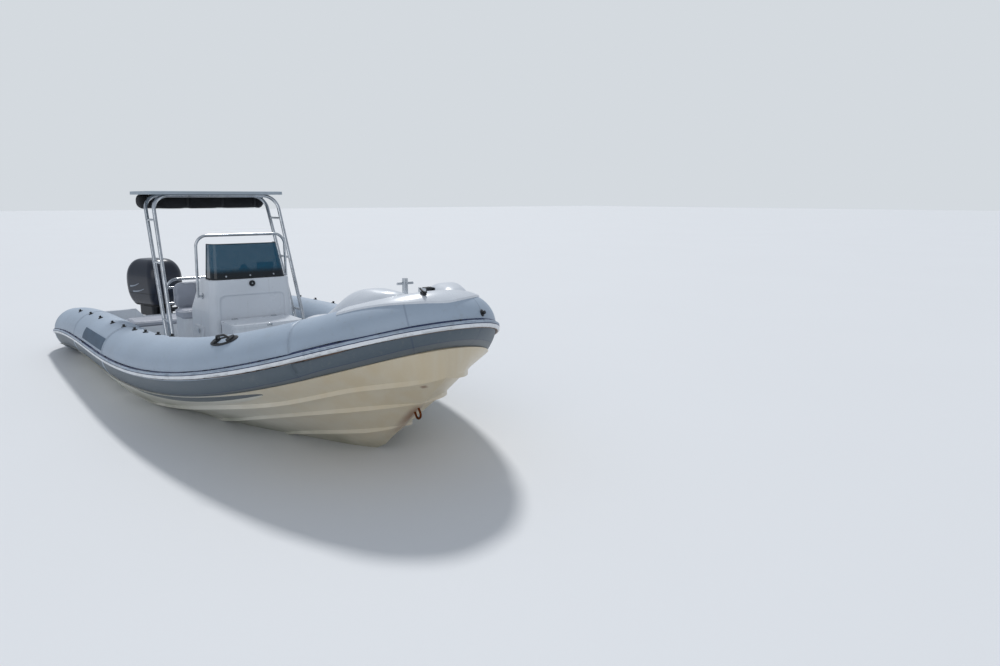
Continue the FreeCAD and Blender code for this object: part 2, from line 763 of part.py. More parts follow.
def top_ring_tube(z):
    """The closed rail round the top frame, as two halves that meet on the centreline."""
    x0 = RING_FRONT_X - RING_LENGTH + RING_R
    x1 = RING_FRONT_X - RING_R
    y = RING_HALF - RING_R
    half = bent_tube([Vector(x1, 0, z), Vector(x1, y, z), Vector(x0, y, z), Vector(x0, 0, z)],
                     RING_R, RING_BEND)
    return half.fuse(mirror_y(half))


def leg_point(i, sign, share):
    """Point on one leg's axis between its foot and its shoulder."""
    foot = Vector(LEG_FOOT_X[i], sign * LEG_FOOT_HALF, SOLE_Z)
    return foot + (Vector(ARCH_TOP_X[i], sign * ARCH_HALF, ARCH_Z) - foot) * share


def make_top_side(sign):
    """Half of both arches: each leg bends inboard at its shoulder and runs to the centreline."""
    parts = []
    for i, top_x in enumerate(ARCH_TOP_X):
        foot = leg_point(i, sign, 0.0)
        middle = Vector(top_x, sign * SEAT_GAP / 2, ARCH_Z)
        parts.append(bent_tube([foot, leg_point(i, sign, 1.0), middle], LEG_R, ARCH_BEND))
        parts.append(Part.makeCylinder(LEG_PAD_R, LEG_PAD_THICK, foot, Z))
    for share in LEG_TIES:
        parts.append(rod(leg_point(0, sign, share), leg_point(1, sign, share), TIE_R))
    below = box(STERN_X, BOW_X, -BEAM, BEAM, SOLE_Z - 300.0, SOLE_Z)
    return biggest(fuse_all(parts).cut(below))


def make_top():
    """Top frame: two arches in port and starboard halves, the ring on them, and the canopy."""
    ring_z = ARCH_Z + LEG_R + SEAT_GAP + RING_R
    y = RING_HALF - RING_R
    bars = [rod(Vector(x, -y, ring_z), Vector(x, y, ring_z), RING_BAR_R)
            for x in ARCH_TOP_X + (ROLL_BAR_X,)]
    z = ring_z + RING_R + SEAT_GAP
    sheet = rounded_block(RING_FRONT_X - RING_LENGTH, RING_FRONT_X, RING_HALF, z,
                          z + CANOPY_THICK, RING_BEND + RING_R)
    roll_top = ring_z - RING_R - SEAT_GAP
    roll = box(ROLL_FRONT_X - ROLL_DEPTH, ROLL_FRONT_X, -ROLL_HALF, ROLL_HALF,
               roll_top - ROLL_HEIGHT, roll_top)
    roll = roll.makeFillet(ROLL_ROUND, roll.Edges)
    return {"top_legs_port": make_top_side(1), "top_legs_starboard": make_top_side(-1),
            "top_ring": fuse_all([top_ring_tube(ring_z)] + bars),
            "canopy": Part.makeCompound([sheet, roll])}


def make_bow_deck(clear, hull):
    """Bow moulding: a hump on each side of the anchor channel and a skirt over the collar."""
    # x, half breadth, height between channel and collar, edge height, channel half width
    rows = ((BOW_DECK_AFT_X, 700.0, 900.0, 870.0, 200.0), (2480.0, 690.0, 985.0, 930.0, 200.0),
            (2700.0, 625.0, 1056.0, 1005.0, 200.0), (2850.0, 575.0, 1130.0, 1050.0, 190.0),
            (2960.0, 520.0, 1235.0, 1095.0, 160.0), (3070.0, 475.0, 1290.0, 1145.0, 135.0),
            (3210.0, 395.0, 1290.0, 1195.0, 125.0),
            (BOW_DECK_FRONT_X, 310.0, 1268.0, 1215.0, 125.0))
    wires = []
    for x, half, hump, skirt, channel in rows:
        low = sheer_z(x) - DECK_DEPTH
        floor = channel_z(x)
        w = half - channel
        top = [(half, skirt), (half - 0.08 * w, skirt + 0.5 * (hump - skirt)),
               (half - 0.28 * w, hump - 10.0), (half - 0.55 * w, hump),
               (half - 0.82 * w, hump - 12.0), (channel, floor + 0.4 * (hump - floor)),
               (channel * 0.8, floor + 4.0), (channel * 0.45, floor), (0.0, floor)]
        pts = [Vector(x, y, z) for y, z in top]
        pts += [Vector(x, -y, z) for y, z in reversed(top[:-1])]
        curve = Part.BSplineCurve()
        curve.interpolate(pts)
        edges = [curve.toShape(),
                 Part.makeLine(pts[-1], Vector(x, -half * 0.8, low)),
                 Part.makeLine(Vector(x, -half * 0.8, low), Vector(x, half * 0.8, low)),
                 Part.makeLine(Vector(x, half * 0.8, low), pts[0])]
        wires.append(Part.Wire(edges))
    body = Part.makeLoft(wires, True, False)
    half = cockpit_half(COCKPIT_FRONT_X)
    body = body.fuse(box(BOW_DECK_AFT_X, BOW_DECK_AFT_X + 40.0, -half, half, PLATFORM_Z, 800.0))
    for part in make_skirt():
        body = body.fuse(part)
    body = cut_all(body, clear).cut(hull)
    body = biggest(body)
    recess = locker_block(-LOCKER_GAP, LOCKER_LENGTH + LOCKER_GAP, LOCKER_HALF + LOCKER_GAP,
                          -SEAT_GAP, 400.0)
    room = locker_block(LOCKER_LEDGE, LOCKER_LENGTH - LOCKER_LEDGE, LOCKER_HALF - LOCKER_LEDGE,
                        -LOCKER_DEPTH, 400.0)
    return body.cut(recess).cut(room)


def channel_z(x):
    """Floor of the anchor channel, level with the locker lid and then with the collar."""
    lid_top = LOCKER_AFT.z + LOCKER_LID / math.cos(math.radians(LOCKER_SLOPE))
    return min(lid_top + math.tan(math.radians(LOCKER_SLOPE)) * (x - LOCKER_AFT.x),
               CHANNEL_FRONT_Z)


def make_skirt():
    """Sheet of the bow moulding that lies on the collar's top."""
    chambers = collar_parts(SEAT_GAP + SKIRT_THICK)
    outline = []
    for k in range(7):
        centre, normal, r = tube_station(SKIRT_FROM + (2.0 - SKIRT_FROM) * k / 6)
        share = SKIRT_OUT_AFT + (SKIRT_OUT_NOSE - SKIRT_OUT_AFT) * k / 6
        outline.append(centre + normal * (share * r))
    line = outline + [Vector(p.x, -p.y, p.z) for p in reversed(outline[:-1])]
    line = [Vector(p.x, p.y, 800.0) for p in line]
    curve = Part.BSplineCurve()
    curve.interpolate(line)
    face = Part.Face(Part.Wire([curve.toShape(), Part.makeLine(line[-1], line[0])]))
    plan = face.extrude(Vector(0, 0, 600.0))
    above = plan.cut(box(0.0, BOW_X, -BEAM, BEAM, 0.0, 950.0))
    names = ("collar_side_port", "collar_side_starboard", "collar_bow")
    return [chambers[name].common(above) for name in names]


def locker_block(x0, x1, half, z0, z1):
    """A block on the sloping seat of the anchor locker's lid."""
    block = box(x0, x1, -half, half, z0, z1)
    block.rotate(Vector(0, 0, 0), Vector(0, 1, 0), -LOCKER_SLOPE)
    block.translate(LOCKER_AFT)
    return block


def make_bow_lid():
    """Lid of the anchor locker with a round hinge bead along its aft edge."""
    plate = locker_block(0.0, LOCKER_LENGTH, LOCKER_HALF, 0.0, LOCKER_LID)
    handle = locker_block(LOCKER_LENGTH - 70.0, LOCKER_LENGTH - 30.0, 45.0, LOCKER_LID,
                          LOCKER_LID + 10.0)
    return plate.fuse(handle)


def make_bow_gear(deck, clear):
    """Anchor roller in its bracket and the mooring post behind it, seated on the moulding."""
    x, z = ROLLER_X, ROLLER_SEAT_Z
    side = ROLLER_HALF + ROLLER_PLATE
    axis_z = z + ROLLER_PLATE + ROLLER_R + ROLLER_PLATE
    cheeks = [box(x - 45.0, x + 45.0, y, y + ROLLER_PLATE, z, axis_z + 14.0)
              for y in (-side, ROLLER_HALF)]
    floor = box(x - 45.0, x + 45.0, -side, side, z - 20.0, z + ROLLER_PLATE)
    pin = rod(Vector(x, -side, axis_z), Vector(x, side, axis_z), ROLLER_PIN_R)
    centre = Vector(x, -ROLLER_HALF + 5.0, axis_z)
    roller = Part.makeCylinder(ROLLER_R, 2 * ROLLER_HALF - 10.0, centre, Vector(0, 1, 0))
    roller = roller.cut(Part.makeCylinder(ROLLER_PIN_R + PIN_GAP, 2 * ROLLER_HALF, centre,
                                          Vector(0, 1, 0)))
    foot = Vector(POST_X, 0, channel_z(POST_X) - 6.0)
    plate = Part.makeCylinder(POST_FOOT_R, 14.0, foot, Z)
    post = Part.makeCylinder(POST_R, POST_TOP - foot.z, foot, Z)
    bar_z = POST_TOP - 35.0
    bar = rod(Vector(POST_X, -POST_BAR_HALF, bar_z), Vector(POST_X, POST_BAR_HALF, bar_z), 9.0)
    bracket = biggest(cut_all(fuse_all(cheeks + [floor, pin]), clear).cut(deck))
    bollard = biggest(fuse_all([plate, post, bar]).cut(deck))
    bracket.translate(Vector(0, 0, SEAT_GAP))
    bollard.translate(Vector(0, 0, SEAT_GAP))
    roller.translate(Vector(0, 0, SEAT_GAP))
    return {"bow_roller_bracket": bracket, "bow_roller": roller, "bow_post": bollard}


def ring_bolt(origin, out, across, reach, spread, bar):
    """A bent round bar whose two feet stand on a face."""
    a = origin - across * (spread / 2)
    b = origin + across * (spread / 2)
    return bent_tube([a, a + out * reach, b + out * reach, b], bar, spread * 0.45)


def make_eyes(hull):
    """Bow eye on the stem and two towing eyes on the transom."""
    root = Vector(EYE_X, 0, EYE_Z)
    out = Vector(math.sin(math.radians(EYE_TILT)), 0, -math.cos(math.radians(EYE_TILT)))
    along = Vector(-out.z, 0, out.x)
    bow = ring_bolt(root - out * 40.0, out, along, EYE_REACH + 40.0, EYE_SPREAD, EYE_BAR)
    bow = bow.cut(hull)
    bow = biggest(bow)
    bow.translate(out * SEAT_GAP)
    stern = [ring_bolt(Vector(TRANSOM_X, y, STERN_EYE_Z), Vector(-1, 0, 0), Z, EYE_REACH,
                       EYE_SPREAD, EYE_BAR) for y in (-STERN_EYE_Y, STERN_EYE_Y)]
    return {"bow_eye": bow, "stern_eyes": Part.makeCompound(stern)}


def on_tube(s, angle, lift):
    """Point on the collar and its outward direction, angle up from the widest line."""
    centre, out, up, r = tube_frame(s)
    a = math.radians(angle)
    facing = out * math.cos(a) + up * math.sin(a)
    return centre + facing * (r + lift), facing


def make_handles(clear):
    """Grab handle on each side tube: two pads and a strap between them."""
    s = s_at_x(HANDLE_X, lambda v: tube_station(v)[0])
    run = tube_station(s + 0.01)[0] - tube_station(s - 0.01)[0]
    step = HANDLE_LENGTH / 2 * 0.02 / run.Length
    facing = on_tube(s, HANDLE_ANGLE, 0.0)[1]
    strap = []
    for k, lift in ((-1.0, 6.0), (-0.55, HANDLE_RISE), (0.55, HANDLE_RISE), (1.0, 6.0)):
        point = on_tube(s + step * k, HANDLE_ANGLE, lift + SEAT_GAP)[0]
        strap.append(point)
    bar = bent_tube(strap, 8.0, 25.0)
    pads = [Part.makeCylinder(HANDLE_PAD_R, 20.0, point - facing * 10.0, facing)
            for point in (strap[0], strap[3])]
    handle = biggest(cut_all(fuse_all([bar] + pads), clear))
    return Part.makeCompound([handle, mirror_y(handle)])


def make_tow_rings(clear):
    """Patch with a ring on the rounded end of each side tube."""
    centre, out, _, _ = tube_frame(CONE_S)
    aft = tube_tangent(CONE_S) * -1
    tip = centre + aft * (STERN_CONE * 0.992)
    patch = Part.makeCylinder(TOW_PATCH_R, 30.0, tip - aft * 24.0, aft)
    eye = ring_bolt(tip, aft, out, TOW_REACH, 50.0, 6.0)
    ring = cut_all(fuse_all([patch, eye]), clear)
    ring = biggest(ring)
    return Part.makeCompound([ring, mirror_y(ring)])


def make_dash():
    """Dark dash cover on the console's top with an instrument hood."""
    x1 = CONSOLE_FRONT_X - SCREEN_SETBACK - 60.0
    x0 = x1 - DASH_LENGTH
    cover = rounded_block(x0, x1, DASH_HALF, CONSOLE_TOP_Z, CONSOLE_TOP_Z + DASH_THICK, 40.0)
    z = CONSOLE_TOP_Z
    hood = plate_xz([(x1 - 40.0, z), (x1 - 60.0, z + HOOD_HEIGHT - 20.0),
                     (x1 - 110.0, z + HOOD_HEIGHT), (x0 + 40.0, z + HOOD_HEIGHT - 10.0),
                     (x0 + 70.0, z)], -HOOD_HALF, HOOD_HALF)
    return fuse_all([cover, hood])


def make_throttle():
    """Engine control box on the console's sloping helm face, with its lever."""
    face, out = helm_face(THROTTLE_SHARE)
    face.y = THROTTLE_Y
    up = Vector(-out.z, 0, out.x)
    if up.z < 0:
        up = up * -1
    body = Part.makeCylinder(THROTTLE_R, 60.0, face, out)
    lever = rod(face + out * 45.0 + Vector(0, 30.0, 0), face + out * 45.0 + Vector(0, 55.0, 0), 10.0)
    start = face + out * 45.0 + Vector(0, 45.0, 0)
    arm = rod(start, start + out * 95.0 + up * 40.0, 8.0)
    knob = Part.makeSphere(18.0, start + out * 95.0 + up * 40.0)
    return fuse_all([body, lever, arm, knob])


def cowl_wires(shrink):
    """Level sections of the cowl round the steering axis at its rest heading straight."""
    # height above the cowl's foot, front and back from the steering axis, half width, corner
    rows = ((0.0, 64.0, -480.0, 180.0, 110.0), (70.0, 92.0, -545.0, 220.0, 130.0),
            (180.0, 110.0, -585.0, 240.0, 140.0), (340.0, 114.0, -600.0, 248.0, 150.0),
            (480.0, 98.0, -580.0, 232.0, 150.0), (570.0, 45.0, -530.0, 192.0, 140.0),
            (620.0, -50.0, -440.0, 125.0, 110.0))
    x = TRANSOM_X - STEER_BEHIND
    z = TRANSOM_TOP + COWL_BASE
    wires = []
    for i, (up, front, back, half, corner) in enumerate(rows):
        lift = shrink if i == 0 else (-shrink if i == len(rows) - 1 else 0.0)
        wires.append(rounded_wire(x + back + shrink, x + front - shrink, half - shrink,
                                  z + up + lift, corner - shrink))
    return wires


def make_motor():
    """Outboard motor, built heading straight and then turned to its parked angle."""
    t = TRANSOM_X
    top = TRANSOM_TOP
    tilt = Vector(t + TILT_AHEAD, 0, top + TILT_ABOVE)
    steer = Vector(t - STEER_BEHIND, 0, 0)
    inner = t + TRANSOM_THICK
    fixed = [rod(tilt - Vector(0, CLAMP_HALF, 0), tilt + Vector(0, CLAMP_HALF, 0), TILT_PIN_R)]
    for s in (-1, 1):
        y0 = s * (CLAMP_HALF - CLAMP_PLATE / 2) - CLAMP_PLATE / 2
        hook = top + 26.0
        profile = [(inner + 22.0, top - 150.0), (inner + SEAT_GAP, top - 150.0),
                   (inner + SEAT_GAP, top + SEAT_GAP), (t - SEAT_GAP, top + SEAT_GAP),
                   (t - SEAT_GAP, top - 320.0), (t - 62.0, top - 300.0), (t - 62.0, top - 40.0),
                   (tilt.x - CLAMP_EYE_R, tilt.z), (tilt.x + CLAMP_EYE_R, tilt.z),
                   (tilt.x + CLAMP_EYE_R + 8.0, hook), (inner + 22.0, hook)]
        fixed.append(plate_xz(profile, y0, y0 + CLAMP_PLATE))
        fixed.append(Part.makeCylinder(CLAMP_EYE_R, CLAMP_PLATE, Vector(tilt.x, y0, tilt.z),
                                       Vector(0, 1, 0)))
    parts = {"motor_clamp": fuse_all(fixed)}

    half = CLAMP_HALF - CLAMP_PLATE - 8.0
    barrel = rod(tilt - Vector(0, half, 0), tilt + Vector(0, half, 0), BARREL_R)
    post_top = top + 20.0
    post_low = top - 290.0
    post = Part.makeCylinder(POST_TUBE_R, post_top - post_low, Vector(steer.x, 0, post_low), Z)
    web = plate_xz([(tilt.x, tilt.z), (tilt.x - 24.0, post_top - 4.0), (steer.x, post_top - 4.0),
                    (steer.x, top - 230.0), (steer.x + 36.0, top - 230.0),
                    (tilt.x + 10.0, tilt.z - 26.0)], -45.0, 45.0)
    swivel = fuse_all([barrel, post, web])
    swivel = swivel.cut(rod(tilt - Vector(0, 200.0, 0), tilt + Vector(0, 200.0, 0),
                            TILT_PIN_R + PIN_GAP))
    swivel = swivel.cut(Part.makeCylinder(STEER_PIN_R + PIN_GAP, 500.0,
                                          Vector(steer.x, 0, post_low - 50.0), Z))
    parts["motor_swivel"] = swivel

    pin = Part.makeCylinder(STEER_PIN_R, post_top - post_low + 60.0,
                            Vector(steer.x, 0, post_low - 30.0), Z)
    arm_top = rounded_block(steer.x - 120.0, steer.x + 28.0, 36.0, post_top + ARM_GAP,
                            post_top + 40.0, 28.0)
    arm_low = rounded_block(steer.x - 120.0, steer.x + 28.0, 36.0, post_low - 40.0,
                            post_low - ARM_GAP, 28.0)
    plate_z = KEEL[0][2] - 10.0
    leg_wires = [rounded_wire(steer.x - 330, steer.x - 58, 78.0, top + COWL_BASE - 1, 60.0),
                 rounded_wire(steer.x - 300, steer.x - 62, 62.0, top - 60, 50.0),
                 rounded_wire(steer.x - 250, steer.x - 66, 46.0, top - 320, 40.0),
                 rounded_wire(steer.x - 260, steer.x - 66, 40.0, plate_z + 12, 34.0)]
    leg = Part.makeLoft(leg_wires, True, False)
    collar = rounded_block(steer.x - 400.0, steer.x + 40.0, 120.0, top + COWL_BASE - 15.0,
                           top + COWL_BASE - SEAT_GAP, 80.0)
    pan = rounded_block(steer.x - PAN_LENGTH - PAN_AHEAD, steer.x - PAN_AHEAD, PAN_HALF,
                        top - PAN_DROP, top + COWL_BASE - 14.0, 70.0)
    parts["motor_midsection"] = fuse_all([leg, pin, arm_top, arm_low, collar, pan])

    cowl = Part.makeLoft(cowl_wires(0.0), True, False)
    room = Part.makeLoft(cowl_wires(COWL_WALL), True, False)
    parts["motor_cowl"] = cowl.cut(room)
    z0 = top + COWL_BASE + COWL_WALL
    parts["motor_powerhead"] = box(steer.x - 360.0, steer.x + 20.0, -115.0, 115.0, z0 + 12.0,
                                   z0 + 430.0)

    axis_z = plate_z - PROP_DROP
    plate = rounded_block(steer.x - 470, steer.x + 10, 120.0, plate_z, plate_z + 12, 90.0)
    strut_wires = [rounded_wire(steer.x - 270, steer.x - 66, 34.0, plate_z, 30.0),
                   rounded_wire(steer.x - 290, steer.x - 70, 24.0, axis_z + 30, 20.0)]
    strut = Part.makeLoft(strut_wires, True, True)
    nose_x = steer.x + 20.0
    tail_x = steer.x - 400.0
    a = Vector(nose_x, 0, axis_z)
    profile = [Vector(nose_x, 0, axis_z), Vector(nose_x - 45, 0, axis_z + 34),
               Vector(nose_x - 130, 0, axis_z + 55), Vector(nose_x - 260, 0, axis_z + 60),
               Vector(tail_x, 0, axis_z + 50)]
    curve = Part.BSplineCurve()
    curve.interpolate(profile)
    outline = Part.Wire([curve.toShape(), Part.makeLine(profile[-1], Vector(tail_x, 0, axis_z)),
                         Part.makeLine(Vector(tail_x, 0, axis_z), profile[0])])
    torpedo = Part.Face(outline).revolve(a, Vector(1, 0, 0), 360)
    skeg = plate_xz([(nose_x - 150, axis_z - 40), (tail_x + 40, axis_z - 40),
                     (tail_x + 20, axis_z - 220), (nose_x - 250, axis_z - 230)], -7, 7)
    shaft = Part.makeCylinder(SHAFT_R, 150.0, Vector(tail_x + 10, 0, axis_z), Vector(-1, 0, 0))
    parts["motor_gearcase"] = fuse_all([plate, strut, torpedo, skeg, shaft])

    hub_x = tail_x - 6.0
    hub = Part.makeCone(50.0, 42.0, 120.0, Vector(hub_x, 0, axis_z), Vector(-1, 0, 0))
    blades = []
    for k in range(3):
        blade = propeller_blade()
        blade.Placement = Placement(Vector(hub_x - 60, 0, axis_z),
                                    Rotation(Vector(1, 0, 0), 120.0 * k))
        blades.append(blade)
    prop = fuse_all([hub] + blades)
    prop = prop.cut(Part.makeCylinder(SHAFT_R + PIN_GAP, 300.0,
                                      Vector(tail_x + 50, 0, axis_z), Vector(-1, 0, 0)))
    parts["propeller"] = prop

    turned = ("motor_midsection", "motor_cowl", "motor_powerhead", "motor_gearcase", "propeller")
    for name in turned:
        parts[name].rotate(steer, Z, STEER_REST)
    return parts


def propeller_blade():
    """One blade: a twisted loft of thin ellipse-like sections along its radius."""
    rows = ((30.0, 42.0, 9.0, 52.0), (80.0, 62.0, 7.0, 66.0), (130.0, 64.0, 5.0, 73.0),
            (168.0, 46.0, 4.0, 76.0), (PROP_R, 16.0, 3.0, 78.0))
    wires = []
    for radius, chord, thick, pitch in rows:
        pts = [Vector(-chord, 0, 0), Vector(0, thick, 0), Vector(chord, 0, 0), Vector(0, -thick, 0)]
        wire = Part.Wire([Part.Arc(pts[0], pts[1], pts[2]).toShape(),
                          Part.Arc(pts[2], pts[3], pts[0]).toShape()])
        wire.rotate(Vector(0, 0, 0), Z, 90.0 - (90.0 - pitch))
        wire.translate(Vector(0, 0, radius))
        wires.append(wire)
    return Part.makeLoft(wires, True, False)


def helm_face(share):
    """Point on the console's sloping helm face, share of the way down, and its normal."""
    top_x = CONSOLE_FRONT_X - CONSOLE_TOP_LENGTH
    knee_x = CONSOLE_FRONT_X - CONSOLE_FOOT_LENGTH + 20.0
    run = Vector(knee_x - top_x, 0, CONSOLE_KNEE_Z - CONSOLE_TOP_Z)
    face = Vector(top_x, 0, CONSOLE_TOP_Z) + run * share
    run.normalize()
    return face, Vector(run.z, 0, -run.x)


def make_wheel():
    """Helm: boss and shaft on the console's sloping face, and the wheel."""
    base, out = helm_face(WHEEL_SHARE)
    column = fuse_all([Part.makeCylinder(45.0, 50.0, base, out),
                       Part.makeCylinder(WHEEL_SHAFT_R, 110.0, base, out)])
    hub_at = base + out * 78.0
    hub = Part.makeCylinder(34.0, 30.0, hub_at, out)
    rim_at = hub_at + out * 22.0
    ring = Part.makeTorus(WHEEL_R, 14.0, rim_at, out)
    spokes = []
    for k in range(3):
        arm = Rotation(out, 120.0 * k + 90.0).multVec(Vector(0, 1, 0))
        spokes.append(rod(hub_at + out * 15.0 + arm * 25.0, rim_at + arm * (WHEEL_R - 5.0), 9.0))
    wheel = fuse_all([hub, ring] + spokes)
    wheel = wheel.cut(Part.makeCylinder(WHEEL_SHAFT_R + PIN_GAP, 400.0, base, out))
    return {"helm_column": column, "steering_wheel": wheel}


def main():
    """Build every node."""
    os.makedirs("parts", exist_ok=True)
    nodes = collar_parts()
    clear = list(collar_parts(SEAT_GAP).values())
    hull = make_hull(clear)
    nodes["hull"] = hull
    nodes["transom"] = make_transom(clear, hull)
    nodes["rub_strake"] = make_strake(clear)
    nodes["console"] = make_console()
    nodes["windscreen"] = make_screen()
    nodes["console_hoop"] = make_hoop()
    nodes["fore_locker"], nodes["fore_locker_lid"] = make_fore_seat()
    base, cushion, back, frame = make_helm_seat()
    nodes["helm_seat_base"] = base
    nodes["helm_seat_cushion"] = cushion
    nodes["helm_backrest"] = back
    nodes["helm_seat_frame"] = frame
    nodes["stern_bench"], nodes["stern_bench_cushion"] = make_bench()
    nodes.update(make_top())
    nodes["bow_deck"] = make_bow_deck(clear, hull)
    nodes["bow_locker_lid"] = make_bow_lid()
    nodes.update(make_bow_gear(nodes["bow_deck"], clear))
    nodes.update(make_eyes(hull))
    nodes["grab_handles"] = make_handles(clear)
    nodes["tow_rings"] = make_tow_rings(clear)
    nodes["dash"] = make_dash()
    nodes["throttle"] = make_throttle()
    nodes.update(make_motor())
    nodes.update(make_wheel())
    for name, shape in nodes.items():
        save(name, shape)


main()
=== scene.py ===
"""Looks of a rigid inflatable boat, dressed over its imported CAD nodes.

Metres, in the frame of the CAD: +X forward, +Y port, +Z up, the waterline at zero height.
"""

import logging
import math
from collections.abc import Iterator, Sequence
from contextlib import contextmanager
from dataclasses import dataclass, field
from enum import Enum
from typing import NamedTuple

import bmesh
import bpy
from mathutils import Matrix, Vector, noise


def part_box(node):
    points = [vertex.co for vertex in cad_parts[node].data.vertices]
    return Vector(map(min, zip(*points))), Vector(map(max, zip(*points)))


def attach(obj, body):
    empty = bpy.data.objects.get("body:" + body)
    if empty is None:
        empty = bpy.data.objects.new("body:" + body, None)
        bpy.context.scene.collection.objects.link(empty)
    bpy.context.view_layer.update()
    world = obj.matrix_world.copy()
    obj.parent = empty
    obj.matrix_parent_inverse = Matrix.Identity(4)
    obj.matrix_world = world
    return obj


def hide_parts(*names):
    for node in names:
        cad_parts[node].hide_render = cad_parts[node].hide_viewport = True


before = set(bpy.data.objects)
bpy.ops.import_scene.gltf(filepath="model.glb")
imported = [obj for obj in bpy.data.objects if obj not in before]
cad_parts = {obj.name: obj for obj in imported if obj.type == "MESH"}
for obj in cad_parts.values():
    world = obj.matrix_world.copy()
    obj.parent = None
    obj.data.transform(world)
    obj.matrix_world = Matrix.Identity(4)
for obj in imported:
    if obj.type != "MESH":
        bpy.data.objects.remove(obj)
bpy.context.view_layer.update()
LOG = logging.getLogger("boat")

Colour = tuple[float, float, float]
Point = tuple[float, float, float]


def srgb(red: int, green: int, blue: int) -> Colour:
    """Linear colour of an 8 bit screen colour."""
    def linear(value: int) -> float:
        share = value / 255
        return share / 12.92 if share <= 0.04045 else ((share + 0.055) / 1.055) ** 2.4

    return linear(red), linear(green), linear(blue)


class Signal:
    """One shader socket that Python expressions can use."""

    def __init__(self, tree: bpy.types.NodeTree, socket: bpy.types.NodeSocket) -> None:
        """Keep the tree and the socket."""
        self.tree = tree
        self.socket = socket

    def _math(self, operation: str, *values: "Signal | float") -> "Signal":
        """Result of one Math node, by its operation and its inputs in order."""
        node = self.tree.nodes.new("ShaderNodeMath")
        node.operation = operation
        for slot, value in zip(node.inputs, values):
            if isinstance(value, Signal):
                self.tree.links.new(value.socket, slot)
            else:
                slot.default_value = value
        return Signal(self.tree, node.outputs[0])

    def __add__(self, other: "Signal | float") -> "Signal":
        """Sum."""
        return self._math("ADD", self, other)

    __radd__ = __add__

    def __sub__(self, other: "Signal | float") -> "Signal":
        """Difference."""
        return self._math("SUBTRACT", self, other)

    def __rsub__(self, other: float) -> "Signal":
        """Difference from a number."""
        return self._math("SUBTRACT", other, self)

    def __mul__(self, other: "Signal | float") -> "Signal":
        """Product."""
        return self._math("MULTIPLY", self, other)

    __rmul__ = __mul__

    def __gt__(self, other: "Signal | float") -> "Signal":
        """1 where this is greater."""
        return self._math("GREATER_THAN", self, other)

    def __lt__(self, other: "Signal | float") -> "Signal":
        """1 where this is less."""
        return self._math("LESS_THAN", self, other)

    def absolute(self) -> "Signal":
        """Size without sign."""
        return self._math("ABSOLUTE", self)

    def wave(self) -> "Signal":
        """Sine."""
        return self._math("SINE", self)

    def smooth(self, low: float, high: float) -> "Signal":
        """Soft step from 0 at low to 1 at high."""
        node = self.tree.nodes.new("ShaderNodeMapRange")
        node.interpolation_type = "SMOOTHSTEP"
        self.tree.links.new(self.socket, node.inputs["Value"])
        node.inputs["From Min"].default_value = low
        node.inputs["From Max"].default_value = high
        return Signal(self.tree, node.outputs["Result"])


